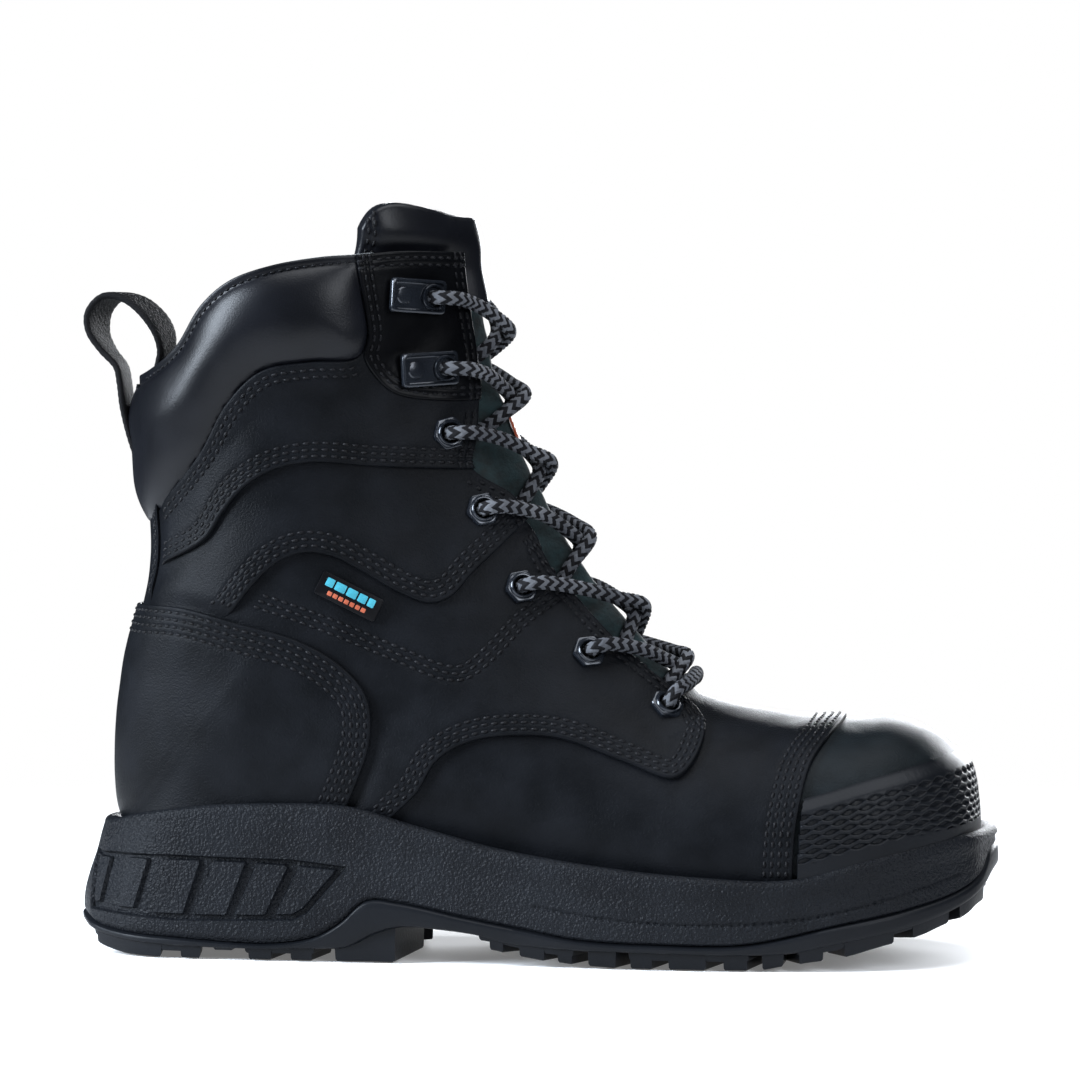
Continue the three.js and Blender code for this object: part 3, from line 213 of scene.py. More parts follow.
def swell(x):
    """Rises steeply from 0 and levels off at 1, as a stuffed pad does beside its seam."""
    t = np.clip(x, 0, 1)
    return (1 - (1 - t) ** 2) ** 0.75


def rows_at(u):
    """Station values at fractional places, with the base shut where the section closes."""
    r = catmull(STATIONS, u)
    shut = np.asarray(u) >= CLOSED
    back = np.asarray(u) > CLOSED - 3
    r[..., 5] = np.where(shut, 0, np.where(back, np.minimum(r[..., 5], 0), r[..., 5]))
    r[..., 6] = np.where(shut, 0, np.where(back, np.maximum(r[..., 6], 0), r[..., 6]))
    return r


def bezier(t, a, b, c, d):
    return (1 - t) ** 3 * a + 3 * (1 - t) ** 2 * t * b + 3 * (1 - t) * t * t * c + t ** 3 * d


def section(u, q, s):
    """Point of the last: q is 0 at the base, 1 at the widest line, 2 at the ridge; s is the side."""
    u, q, s = np.broadcast_arrays(np.asarray(u, float), np.asarray(q, float), np.asarray(s, float))
    r = rows_at(u)
    bx, bz, rx, rz, ry = (r[..., k] for k in range(5))
    base = np.where(s < 0, r[..., 5], r[..., 6])
    wide = np.where(s < 0, r[..., 7], r[..., 8])
    at, rnd = r[..., 9], r[..., 10]
    shut = np.clip(1 - np.abs(base - ry) / np.maximum(np.abs(wide - ry), 1e-6), 0, 1)
    low = q < 1
    ql = np.clip(q, 0, 1)
    qh = np.clip(q - 1, 0, 1)
    n = np.where(low, bezier(ql, 0, at * 0.4 * (1 - shut), at * 0.52, at),
                 bezier(qh, at, at + (1 - at) * rnd, 1, 1))
    y = np.where(low, bezier(ql, base, base + shut * 0.55 * (wide - base), wide, wide),
                 bezier(qh, wide, wide, ry + rnd * (wide - ry), ry))
    return np.stack([bx + n * (rx - bx), y, bz + n * (rz - bz)], -1)


def normal(u, q, s, step_u=0.04, step_q=0.015):
    """Outward normal of the last."""
    u, q, s = np.broadcast_arrays(np.asarray(u, float), np.asarray(q, float), np.asarray(s, float))
    along = section(np.minimum(u + step_u, LAST), q, s) - section(np.maximum(u - step_u, 0), q, s)
    round_ = section(u, np.minimum(q + step_q, 2), s) - section(u, np.maximum(q - step_q, 0), s)
    ridge = q >= 2 - 1e-9
    seam = (q <= 1e-9) & (u >= CLOSED)
    flat = np.zeros_like(round_)
    flat[..., 1] = 1
    round_ = np.where(ridge[..., None], -s[..., None] * flat, round_)
    round_ = np.where(seam[..., None], s[..., None] * flat, round_)
    n = np.cross(along, round_) * s[..., None]
    n[..., 1] = np.where(ridge | seam, 0, n[..., 1])
    return unit(np.where((u <= 1e-9)[..., None], [1.0, 0, 0], n))


def find_place(x, z, s):
    """Station and section place of the surface points seen at (x, z) from the side."""
    x, z, s = np.broadcast_arrays(np.asarray(x, float), np.asarray(z, float), np.asarray(s, float))
    low = np.full(x.shape, 0.5)
    high = np.full(x.shape, float(LAST))
    for _ in range(HALVINGS):
        mid = (low + high) / 2
        r = rows_at(mid)
        over = (r[..., 2] - r[..., 0]) * (z - r[..., 1]) - (r[..., 3] - r[..., 1]) * (x - r[..., 0]) > 0
        low = np.where(over, mid, low)
        high = np.where(over, high, mid)
    u = (low + high) / 2
    r = rows_at(u)
    dx, dz = r[..., 2] - r[..., 0], r[..., 3] - r[..., 1]
    want = ((x - r[..., 0]) * dx + (z - r[..., 1]) * dz) / (dx ** 2 + dz ** 2)
    q0 = np.zeros(x.shape)
    q1 = np.full(x.shape, 2.0)
    for _ in range(HALVINGS):
        mid = (q0 + q1) / 2
        p = section(u, mid, s)
        less = ((p[..., 0] - r[..., 0]) * dx + (p[..., 2] - r[..., 1]) * dz) / (dx ** 2 + dz ** 2) < want
        q0 = np.where(less, mid, q0)
        q1 = np.where(less, q1, mid)
    return u, (q0 + q1) / 2


def ripple(p, size, seed=0.0):
    """Smooth unevenness between -1 and 1 with bumps of about the given size."""
    k = 2 * math.pi / size
    x, y, z = p[..., 0], p[..., 1], p[..., 2]
    a = np.sin(k * (x * 0.81 + y * 0.43 - z * 0.39) + 1.3 + seed)
    b = np.sin(k * (x * -0.36 + y * 0.77 + z * 0.71) * 1.23 + 2.1 * seed)
    c = np.sin(k * (x * 0.52 - y * 0.64 + z * 0.87) * 0.83 + 0.7 - seed)
    return (a * b + b * c + c * a) / 2.2


# ------------------------------------------------------------------ fields over the skin
def curve_field(curve, p, n, flip=1):
    """Distance along the skin from a side curve, positive to the left of its direction times flip."""
    line = spline(curve, 1.6)
    first = line[0] - unit(line[1] - line[0]) * RUN_ON
    last = line[-1] + unit(line[-1] - line[-2]) * RUN_ON
    line = np.vstack([first, line, last]).astype(np.float32)
    a = line[:-1]
    d = line[1:] - a
    dd = (d ** 2).sum(1)
    xz = p[:, [0, 2]].astype(np.float32)
    dist = np.empty(len(p))
    grad = np.empty((len(p), 2))
    for k in range(0, len(p), CHUNK):
        w = xz[k:k + CHUNK, None, :] - a[None]
        t = np.clip((w * d[None]).sum(2) / dd, 0, 1)
        gap = w - t[..., None] * d[None]
        g2 = (gap ** 2).sum(2)
        best = g2.argmin(1)
        r = np.arange(len(best))
        g = gap[r, best]
        side = np.sign(d[best, 0] * w[r, best, 1] - d[best, 1] * w[r, best, 0])
        side[side == 0] = 1
        length = np.sqrt(g2[r, best])
        dist[k:k + CHUNK] = side * length
        grad[k:k + CHUNK] = side[:, None] * g / np.maximum(length, 1e-5)[:, None]
    slope = np.sqrt(np.clip(1 - (grad[:, 0] * n[:, 0] + grad[:, 1] * n[:, 2]) ** 2, 0.2, 1))
    return flip * dist / slope


FIELDS = {
    "top": (COLLAR_TOP, -1), "cseam": (COLLAR_SEAM, 1), "shaft": (SHAFT_LOW, 1), "mid": (MID_LOW, 1),
    "throat": (THROAT, -1), "vamp": (VAMP_LINE, 1), "counter": (COUNTER_TOP, -1), "toe": (TOE_SEAM, 1),
    "qseam": (QUARTER_SEAM, 1), "facing": (FACING_EDGE, 1), "backstay": (BACKSTAY_EDGE, 1),
    "lining": (LINING_EDGE, -1), "tongue": (TONGUE_EDGE, 1), "rim": (RIM, 1), "padtop": (PAD_TOP, -1),
}
# columns of a skin's vertex table: place on the last, flags, measures, then the fields
COLUMN = {name: k for k, name in enumerate(
    ["u", "q", "s", "seam", "lock", "x", "z", "hole", "window", "pad", "groove", *FIELDS])}
SEAM, LOCK = COLUMN["seam"], COLUMN["lock"]
FLAGS = slice(SEAM, LOCK + 1)


def signed(field):
    """Name and sign of a field, which is given as its name or as (name, -1)."""
    return field if isinstance(field, tuple) else (field, 1)


def hole_frames():
    """Lace holes of each side, toe to top: where they are, and for the hooks the way they point."""
    out = {}
    for _, s in SIDES:
        spots = EYELETS + [h for h, _ in HOOKS]
        u, q = find_place([p[0] for p in spots], [p[1] for p in spots], s)
        at = section(u, q, s)
        nn = normal(u, q, s)
        out[s] = [dict(at=at[i], n=nn[i], u=u[i], s=s, hook=i >= len(EYELETS)) for i in range(len(spots))]
        for hole, (_, rear) in zip(out[s][len(EYELETS):], HOOKS):
            forward = hole["at"] - section(*find_place(*rear, s), s)
            hole["forward"] = unit(forward - hole["n"] * (forward @ hole["n"]))
    return out


HOLES = hole_frames()


class Skin:
    """Triangles over the last. Each vertex keeps its place on the last and its distances to the seams."""

    def __init__(self, a, t):
        self.a = a
        self.t = t

    def copy(self):
        return Skin(self.a.copy(), self.t.copy())

    def col(self, name):
        return self.a[:, COLUMN[name]]

    def value(self, field):
        name, sign = signed(field)
        return self.col(name) * sign

    def tidy(self):
        """Drops the vertices that no triangle uses."""
        used, inverse = np.unique(self.t, return_inverse=True)
        self.a = self.a[used]
        self.t = inverse.reshape(-1, 3)
        return self

    def split(self, field, level, snap=0.22):
        """Puts vertices on the line where a field equals a level. Vertices close to the line slide onto
        it along an edge, and then each edge that still crosses it is cut."""
        name, sign = signed(field)
        c = COLUMN[name]
        target = level * sign
        v = self.a[:, c] - target
        v[np.abs(v) < 1e-7] = 0
        edges = np.vstack([self.t[:, [0, 1]], self.t[:, [1, 2]], self.t[:, [2, 0]]])
        edges = np.unique(np.sort(edges, axis=1), axis=0)
        cross = edges[v[edges[:, 0]] * v[edges[:, 1]] < 0]
        if not len(cross):
            return self
        i, j = cross.T
        t = v[i] / (v[i] - v[j])
        seam = self.a[:, SEAM] > 0.5
        lock = self.a[:, LOCK] > 0.5
        both = seam[i] & seam[j]
        who = np.concatenate([i, j])
        mate = np.concatenate([j, i])
        frac = np.concatenate([t, 1 - t])
        free = (frac < snap) & ~lock[who] & (~seam[who] | np.concatenate([both, both]))
        who, mate, frac = who[free], mate[free], frac[free]
        order = np.argsort(frac, kind="stable")
        who, mate, frac = who[order], mate[order], frac[order]
        _, first = np.unique(who, return_index=True)
        who, mate, frac = who[first], mate[first], frac[first]
        flags = self.a[who, FLAGS].copy()
        self.a[who] = self.a[who] + (self.a[mate] - self.a[who]) * frac[:, None]
        self.a[who, FLAGS] = flags
        self.a[who, c] = target
        v = self.a[:, c] - target
        v[np.abs(v) < 1e-7] = 0
        cross = edges[v[edges[:, 0]] * v[edges[:, 1]] < 0]
        if len(cross):
            self.cut_edges(cross, v, c, target)
        self.a[np.abs(self.a[:, c] - target) < 1e-7, LOCK] = 1
        return self

    def cut_edges(self, cross, v, c, target):
        """A new vertex on each crossing edge, and the triangles beside it cut in two or three."""
        n = len(self.a)
        i, j = cross.T
        t = (v[i] / (v[i] - v[j]))[:, None]
        new = self.a[i] + (self.a[j] - self.a[i]) * t
        new[:, SEAM] = np.minimum(self.a[i, SEAM], self.a[j, SEAM])
        new[:, LOCK] = 0
        new[:, c] = target
        self.a = np.vstack([self.a, new])
        keys = i.astype(np.int64) * n + j

        def lookup(p, q):
            key = np.minimum(p, q).astype(np.int64) * n + np.maximum(p, q)
            at = np.clip(np.searchsorted(keys, key), 0, len(keys) - 1)
            return np.where(keys[at] == key, n + at, -1)

        a, b, d = self.t.T
        middles = np.stack([lookup(a, b), lookup(b, d), lookup(d, a)], 1)
        count = (middles >= 0).sum(1)
        out = [self.t[count == 0]]

        def turned(which, first):
            """Corners and middles of some triangles, each turned to start at its given corner."""
            order = (first[:, None] + np.arange(3)) % 3
            return (*np.take_along_axis(self.t[which], order, 1).T,
                    *np.take_along_axis(middles[which], order, 1).T)

        one, two = count == 1, count == 2
        if one.any():
            a, b, d, mid, _, _ = turned(one, middles[one].argmax(1))
            out += [np.stack([a, mid, d], 1), np.stack([mid, b, d], 1)]
        if two.any():
            a, b, d, m1, _, m2 = turned(two, (middles[two].argmin(1) + 2) % 3)
            out += [np.stack([a, m1, m2], 1), np.stack([m1, b, d], 1), np.stack([m1, d, m2], 1)]
        self.t = np.vstack(out)

    def clip(self, field, level):
        """Keeps the part where the field is above the level."""
        self.split(field, level)
        self.t = self.t[(self.value(field) - level)[self.t].mean(1) > 1e-9]
        return self.tidy()

    def rough(self, field, level):
        """Quickly drops triangles far outside."""
        self.t = self.t[(self.value(field) - level)[self.t].max(1) > 0]
        return self.tidy()

    def weld(self):
        """Vertices of the two halves that share a place on the ridge or the back seam become one."""
        seam = np.nonzero(self.a[:, SEAM] > 0.5)[0]
        u, q = self.a[seam, 0], self.a[seam, 1]
        kind = np.where(u < 1e-6, 2, np.where(q > 1, 1, 0))
        along = np.where(kind == 2, q, u)
        keys = {}
        target = np.arange(len(self.a))
        for v, k, w in zip(seam, kind, np.round(along, 4)):
            target[v] = keys.setdefault((k, w), v)
        self.t = target[self.t]
        ok = (self.t[:, 0] != self.t[:, 1]) & (self.t[:, 1] != self.t[:, 2]) & (self.t[:, 2] != self.t[:, 0])
        self.t = self.t[ok]
        return self.tidy()

    def base(self):
        """Points and normals of the surface under the skin."""
        u, q, s = self.a[:, 0], self.a[:, 1], self.a[:, 2]
        return section(u, q, s), normal(u, q, s)


def skin_grid(step, cols):
    """A grid over the last with rows about step mm apart."""
    fine = np.linspace(0, LAST, 1600)
    speed = 0
    for q, s in ((0, -1), (1, -1), (1, 1), (1.5, -1), (2, -1)):
        p = section(fine, q, s)
        speed = speed + np.linalg.norm(np.diff(p, axis=0), axis=1)
    travel = np.concatenate([[0], np.cumsum(speed / 5)])
    rows = np.interp(np.linspace(0, travel[-1], int(travel[-1] / step) + 1), travel, fine)
    rows[np.abs(rows - CLOSED).argmin()] = CLOSED
    uu, qq = np.meshgrid(rows, np.linspace(0, 2, cols), indexing="ij")
    seam = (qq >= 2 - 1e-9) | ((qq <= 1e-9) & (uu >= CLOSED)) | (uu <= 1e-9)
    parts, tris, start = [], [], 0
    for _, s in SIDES:
        table = np.zeros((uu.size, len(COLUMN)))
        table[:, :4] = np.stack([uu.ravel(), qq.ravel(), np.full(uu.size, s), seam.ravel()], 1)
        parts.append(table)
        idx = start + np.arange(uu.size).reshape(uu.shape)
        a, b, c, d = idx[:-1, :-1].ravel(), idx[:-1, 1:].ravel(), idx[1:, 1:].ravel(), idx[1:, :-1].ravel()
        if s < 0:
            tris += [np.stack([a, b, d], 1), np.stack([b, c, d], 1)]
        else:
            tris += [np.stack([a, d, b], 1), np.stack([b, d, c], 1)]
        start += uu.size
    a = np.vstack(parts)
    skin = Skin(a, np.vstack(tris))
    p, n = skin.base()
    a[:, COLUMN["x"]] = p[:, 0]
    a[:, COLUMN["z"]] = p[:, 2]
    for name, (curve, flip) in FIELDS.items():
        a[:, COLUMN[name]] = curve_field(curve, p, n, flip)
    near = np.full(len(a), FAR)
    for hole in HOLES[-1] + HOLES[1]:
        w = p - hole["at"]
        w = w - (w @ hole["n"])[:, None] * hole["n"]
        near = np.minimum(near, np.linalg.norm(w, axis=1) + np.where(a[:, 2] == hole["s"], 0, FAR))
    a[:, COLUMN["hole"]] = near
    return skin


# ------------------------------------------------------------------ meshes and materials
def make_object(name, verts, faces, material):
    mesh = bpy.data.meshes.new(name)
    mesh.from_pydata((np.asarray(verts) * MM).tolist(), [], [tuple(int(k) for k in f) for f in faces])
    mesh.validate()
    mesh.update()
    mesh.polygons.foreach_set("use_smooth", [True] * len(mesh.polygons))
    obj = bpy.data.objects.new(name, mesh)
    bpy.context.scene.collection.objects.link(obj)
    mesh.materials.append(material)
    return obj


def finish_piece(obj, nodes=(), body=BOOT, sharp=None):
    """Marks edges steeper than so many degrees sharp, then puts the piece on its body and hides the CAD
    nodes that it stands for."""
    if sharp:
        obj.data.set_sharp_from_angle(angle=math.radians(sharp))
    if body:
        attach(obj, body)
    if nodes:
        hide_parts(*nodes)
    return obj


def joined(parts):
    """One vertex array and face list out of several."""
    verts, faces, start = [], [], 0
    for v, f in parts:
        verts.append(v)
        faces += [tuple(i + start for i in g) for g in f]
        start += len(v)
    return np.vstack(verts), faces


def strip_quads(strips, closed=True):
    """Quads between consecutive strips of vertex numbers of equal length."""
    faces = []
    for a, b in zip(strips[:-1], strips[1:]):
        for k in range(len(a) if closed else len(a) - 1):
            j = (k + 1) % len(a)
            faces.append((a[k], a[j], b[j], b[k]))
    return faces


def flipped(faces):
    """The same faces seen from the other side, each with the same first corner."""
    return [(f[0], *f[:0:-1]) for f in faces]


def rows_of(count, size):
    """Vertex numbers of rows of equal size that follow one another."""
    return [range(r * size, (r + 1) * size) for r in range(count)]


def boundary(tris):
    """Directed edges that have no mate."""
    e = np.vstack([tris[:, [0, 1]], tris[:, [1, 2]], tris[:, [2, 0]]])
    n = int(tris.max()) + 1
    key = e[:, 0].astype(np.int64) * n + e[:, 1]
    back = e[:, 1].astype(np.int64) * n + e[:, 0]
    return e[~np.isin(key, back)]


def shell_mesh(tris, outer, inner):
    """Closed faces between an outer and an inner copy of a sheet."""
    n = len(outer)
    verts = np.vstack([outer, inner])
    faces = [tuple(f) for f in tris]
    faces += [(f[0] + n, f[2] + n, f[1] + n) for f in tris]
    faces += [(b, a, a + n, b + n) for a, b in boundary(tris)]
    return verts, faces


def chain(pairs):
    """Joins index pairs end to end into open or closed polylines."""
    near = {}
    for a, b in pairs:
        near.setdefault(a, []).append(b)
        near.setdefault(b, []).append(a)
    seen = set()
    lines = []
    for start in sorted(near, key=lambda k: (len(near[k]) == 2, k)):
        line = []
        ahead = [start]
        while ahead := [k for k in ahead if k not in seen]:
            line.append(ahead[0])
            seen.add(ahead[0])
            ahead = near[ahead[0]]
        if line:
            lines.append(line)
    return lines


def stitch_lines(skin, points, normals, field, level, keep):
    """Polylines of skin vertices that lie on a stitch row."""
    on = (np.abs(skin.value(field) - level) < 1e-6) & keep
    e = np.vstack([skin.t[:, [0, 1]], skin.t[:, [1, 2]], skin.t[:, [2, 0]]])
    e = np.unique(np.sort(e[on[e].all(1)], axis=1), axis=0)
    return [(points[line], normals[line]) for line in chain(e.tolist()) if len(line) > 4]


def resample(points, extra, pitch):
    """Even places along a polyline, with the extra rows carried along."""
    s = travel_along(points)
    count = max(int(s[-1] / pitch), 1)
    at = (np.arange(count) + 0.5) * s[-1] / count
    along = columns_at(at + 0.6, s, points) - columns_at(at - 0.6, s, points)
    return columns_at(at, s, points), along, columns_at(at, s, extra)


STITCH_LIFT = 0.16
STITCH_DIVE = 0.55  # how far the ends of a stitch go down into their holes
STITCH_RINGS, STITCH_SIDES = 6, 6


def stitch_shape(long, radius):
    """One stitch: vertices along x, and its faces."""
    verts = []
    for k in np.linspace(-1, 1, STITCH_RINGS):
        r = radius * math.sqrt(max(1 - 0.86 * k ** 4, 0.05))
        for w in 2 * math.pi * np.arange(STITCH_SIDES) / STITCH_SIDES:
            verts.append([k * long / 2, r * math.cos(w),
                          r * math.sin(w) * 0.9 + STITCH_LIFT - STITCH_DIVE * abs(k) ** 3])
    rows = rows_of(STITCH_RINGS, STITCH_SIDES)
    faces = [f[::-1] for f in strip_quads(rows)] + [tuple(rows[0]), tuple(rows[-1])[::-1]]
    return np.array(verts), faces


def stitches(name, lines, pitch=3.3, long=2.7, radius=0.56, body=BOOT):
    """One object of thread stitches along the given rows."""
    template, faces = stitch_shape(long, radius)
    verts = []
    allfaces = []
    start = 0
    for points, normals in lines:
        if travel_along(points)[-1] < 2 * pitch:
            continue
        place, along, up = resample(points, normals, pitch)
        x = unit(along)
        z = unit(up - (up * x).sum(1, keepdims=True) * x)
        axes = np.stack([x, np.cross(z, x), z], 1)
        verts.append((place[:, None] + template @ axes).reshape(-1, 3))
        for _ in range(len(place)):
            allfaces += [tuple(i + start for i in f) for f in faces]
            start += len(template)
    return finish_piece(make_object(name, np.vstack(verts), allfaces, THREAD), body=body)


def node_material(name, dark, light, rough, grain, depth, patch=70.0, spread=0.07, fleck=0.0, coat=0.0,
                  metal=0.0, sheen=0.0, detail=3.0, gleam=0.32):
    """A procedural material: mottled colour, uneven gloss and a fine surface grain."""
    mat = bpy.data.materials.new(name)
    mat.use_nodes = True
    nodes, links = mat.node_tree.nodes, mat.node_tree.links
    shader = nodes["Principled BSDF"]
    place = nodes.new("ShaderNodeTexCoord")
    cloud, fine = nodes.new("ShaderNodeTexNoise"), nodes.new("ShaderNodeTexNoise")
    for noise, scale, octaves in ((cloud, patch, 4), (fine, grain, detail)):
        noise.inputs["Scale"].default_value = scale
        noise.inputs["Detail"].default_value = octaves
        links.new(place.outputs["Object"], noise.inputs["Vector"])
    fine.inputs["Roughness"].default_value = 0.6
    blend = nodes.new("ShaderNodeMath")
    blend.operation = "MULTIPLY_ADD"
    blend.inputs[1].default_value = fleck
    links.new(fine.outputs["Fac"], blend.inputs[0])
    links.new(cloud.outputs["Fac"], blend.inputs[2])
    ramp = nodes.new("ShaderNodeValToRGB")
    for stop, position, color in zip(ramp.color_ramp.elements, (0.35, 0.68), (dark, light)):
        stop.position = position + 0.5 * fleck
        stop.color = (*color, 1)
    links.new(blend.outputs[0], ramp.inputs["Fac"])
    links.new(ramp.outputs["Color"], shader.inputs["Base Color"])
    gloss = nodes.new("ShaderNodeMapRange")
    gloss.inputs["To Min"].default_value = rough - spread
    gloss.inputs["To Max"].default_value = rough + spread
    links.new(cloud.outputs["Fac"], gloss.inputs["Value"])
    links.new(gloss.outputs["Result"], shader.inputs["Roughness"])
    bump = nodes.new("ShaderNodeBump")
    bump.inputs["Strength"].default_value = 1.0
    bump.inputs["Distance"].default_value = depth
    links.new(fine.outputs["Fac"], bump.inputs["Height"])
    links.new(bump.outputs["Normal"], shader.inputs["Normal"])
    settings = {"Metallic": metal, "Coat Weight": coat, "Coat Roughness": 0.18, "Sheen Weight": sheen,
                "Specular IOR Level": gleam}
    for socket, value in settings.items():
        shader.inputs[socket].default_value = value
    return mat


LEATHER = node_material("oiled leather", (0.0022, 0.0026, 0.0034), (0.0042, 0.0048, 0.0062), 0.43, 1500,
                        0.00022, gleam=0.05)
PATENT = node_material("polished leather", (0.0012, 0.0013, 0.0017), (0.0022, 0.0024, 0.0030), 0.30, 500,
                       0.00004, gleam=0.06)
COLLAR_SKIN = node_material("collar leather", (0.0024, 0.0027, 0.0038), (0.0045, 0.0050, 0.0070), 0.34, 1700,
                            0.00006, patch=28, gleam=0.15)
TOE_SKIN = node_material("coated toe leather", (0.0036, 0.0050, 0.0060), (0.0058, 0.0078, 0.0092), 0.46, 1300,
                         0.00018, patch=120, gleam=0.06)
RUBBER = node_material("stippled rubber", (0.0034, 0.0040, 0.0054), (0.0058, 0.0068, 0.0088), 0.48, 1000,
                       0.0008, patch=45, detail=1.0, gleam=0.08)
SMOOTH_RUBBER = node_material("smooth rubber", (0.0034, 0.0040, 0.0052), (0.0054, 0.0062, 0.0080), 0.40, 900,
                              0.00008, patch=30, gleam=0.09)
THREAD = node_material("thread", (0.0018, 0.0019, 0.0026), (0.0042, 0.0045, 0.0060), 0.42, 2400, 0.0002,
                       gleam=0.11)
LINING = node_material("napped lining", (0.006, 0.010, 0.011), (0.012, 0.019, 0.020), 0.9, 1400, 0.0003,
                       sheen=0.3)
TONGUE_CLOTH = node_material("mottled tongue cloth", (0.0015, 0.0045, 0.0052), (0.006, 0.019, 0.0215), 0.85,
                             620, 0.0004, patch=150, fleck=0.35, sheen=0.2)
FOAM = node_material("closed-cell foam", (0.03, 0.032, 0.035), (0.045, 0.047, 0.05), 0.85, 1500, 0.0003)
GUNMETAL = node_material("black nickel", (0.008, 0.010, 0.014), (0.014, 0.017, 0.023), 0.20, 300, 0.00002,
                         metal=0.5, coat=0.25, spread=0.05)
WEB = node_material("webbing", (0.0025, 0.0025, 0.003), (0.0060, 0.0060, 0.0068), 0.7, 1900, 0.0003,
                    gleam=0.08)
TAB_BLACK = node_material("tab black", (0.002, 0.002, 0.0025), (0.004, 0.004, 0.005), 0.35, 700, 0.00005,
                          gleam=0.1)
TEAL = node_material("teal mark", (0.02, 0.20, 0.27), (0.05, 0.32, 0.40), 0.5, 1500, 0.0001)
ORANGE = node_material("orange mark", (0.25, 0.05, 0.02), (0.40, 0.10, 0.05), 0.5, 1500, 0.0001)
PALE = node_material("pale mark", (0.45, 0.42, 0.40), (0.6, 0.57, 0.55), 0.6, 1500, 0.0001)
LACE_BLACK = node_material("lace black yarn", (0.003, 0.003, 0.004), (0.006, 0.006, 0.007), 0.75, 2600,
                           0.0002, gleam=0.1)
LACE_GREY = node_material("lace grey yarn", (0.050, 0.053, 0.061), (0.105, 0.11, 0.122), 0.75, 2600, 0.0002,
                          gleam=0.15)
BOARD = node_material("fibre board", (0.30, 0.25, 0.18), (0.4, 0.34, 0.26), 0.9, 700, 0.0003)
SHELL = node_material("moulded composite", (0.10, 0.11, 0.10), (0.15, 0.16, 0.15), 0.5, 500, 0.0001)
STEEL = node_material("rolled steel", (0.35, 0.36, 0.38), (0.45, 0.46, 0.48), 0.35, 900, 0.00005, metal=1.0)


GROOVE = 0.3  # depth of the dip along a row of stitches
GROOVE_HALF = 0.75
GROOVE_SPREAD = 0.55
HOLE_R = 3.9  # hole in the leather behind an eyelet or hook
MARGIN = 4  # how far outside its outline a piece is first cut roughly
COVERED = (-7, -0.5)  # beside a piece on top: sinking starts at the first distance, ends at the second
EDGE_CUTS = (0.16, 0.5, 1.0)  # rows of vertices over the rounding of an edge
EDGE_R = 0.65  # rounding of a cut leather edge
PRESSED = 0.6  # where a piece is pressed down more than this under another, no stitches show


def panel(name, node, grid, clips, material, edges=(), rows=(), covers=(), base=0.0, thick=1.8,
          holes=False, outer=None, inner=None, body=BOOT, edge_r=EDGE_R, extra=()):
    """A piece of the upper, and its rows of stitches as polylines.

    clips: (field, level), kept above. edges: (field, lift, reach) of the free edges, which stand proud.
    rows: (field, levels) of rows of stitches. covers: fields of the pieces that lie on top. outer and
    inner give the two faces' heights over the last as functions of the skin and its points.
    """
    skin = grid.copy()
    rows = [(field, level) for field, levels in rows for level in levels]
    for field, level in clips:
        skin.rough(field, level - MARGIN)
    for field, level in clips:
        skin.clip(field, level)
    if holes:
        skin.clip("hole", HOLE_R)
    for field, level in rows:
        skin.split(field, level)
    for field, level in rows:
        skin.split(field, level - GROOVE_HALF)
        skin.split(field, level + GROOVE_HALF)
    for field, _, _ in edges:
        for share in EDGE_CUTS:
            skin.split(field, share * edge_r)
    for field, level in extra:
        skin.split(field, level)
    skin.weld()
    p, n = skin.base()
    press = np.zeros(len(p))
    for field in covers:
        press = np.maximum(press, smooth(skin.value(field), *COVERED))
    lift = np.zeros(len(p))
    near = np.full(len(p), FAR)
    for field, height, reach in edges:
        inside = skin.value(field)
        lift = np.maximum(lift, height * (1 - smooth(inside, 0, reach)))
        near = np.minimum(near, inside)
    top = base + lift * (1 - press)
    if outer is not None:
        top = top + outer(skin, p)
    for field, level in rows:
        top = top - GROOVE * np.exp(-((skin.value(field) - level) / GROOVE_SPREAD) ** 2) * (1 - press)
    top = top + 0.16 * ripple(p, 52) + 0.07 * ripple(p, 19, 2.0)
    low = top - thick if inner is None else inner(skin, p)
    e = np.clip(near / edge_r, 0, 1)
    top = top - edge_r * (1 - np.sqrt(1 - (1 - e) ** 2))
    high = p + n * top[:, None]
    verts, faces = shell_mesh(skin.t, high, p + n * low[:, None])
    obj = finish_piece(make_object(name, verts, faces, material), [node], body, sharp=50)
    keep = (press < PRESSED) & (skin.col("rim") > 0.5)
    lines = []
    for field, level in rows:
        lines += stitch_lines(skin, high, n, field, level, keep)
    return obj, lines


GRID = skin_grid(1.35, 112)
HALF = {s: GRID.copy() for _, s in SIDES}
for half_s, half in HALF.items():
    half.t = half.t[half.a[half.t[:, 0], 2] == half_s]
    half.tidy()

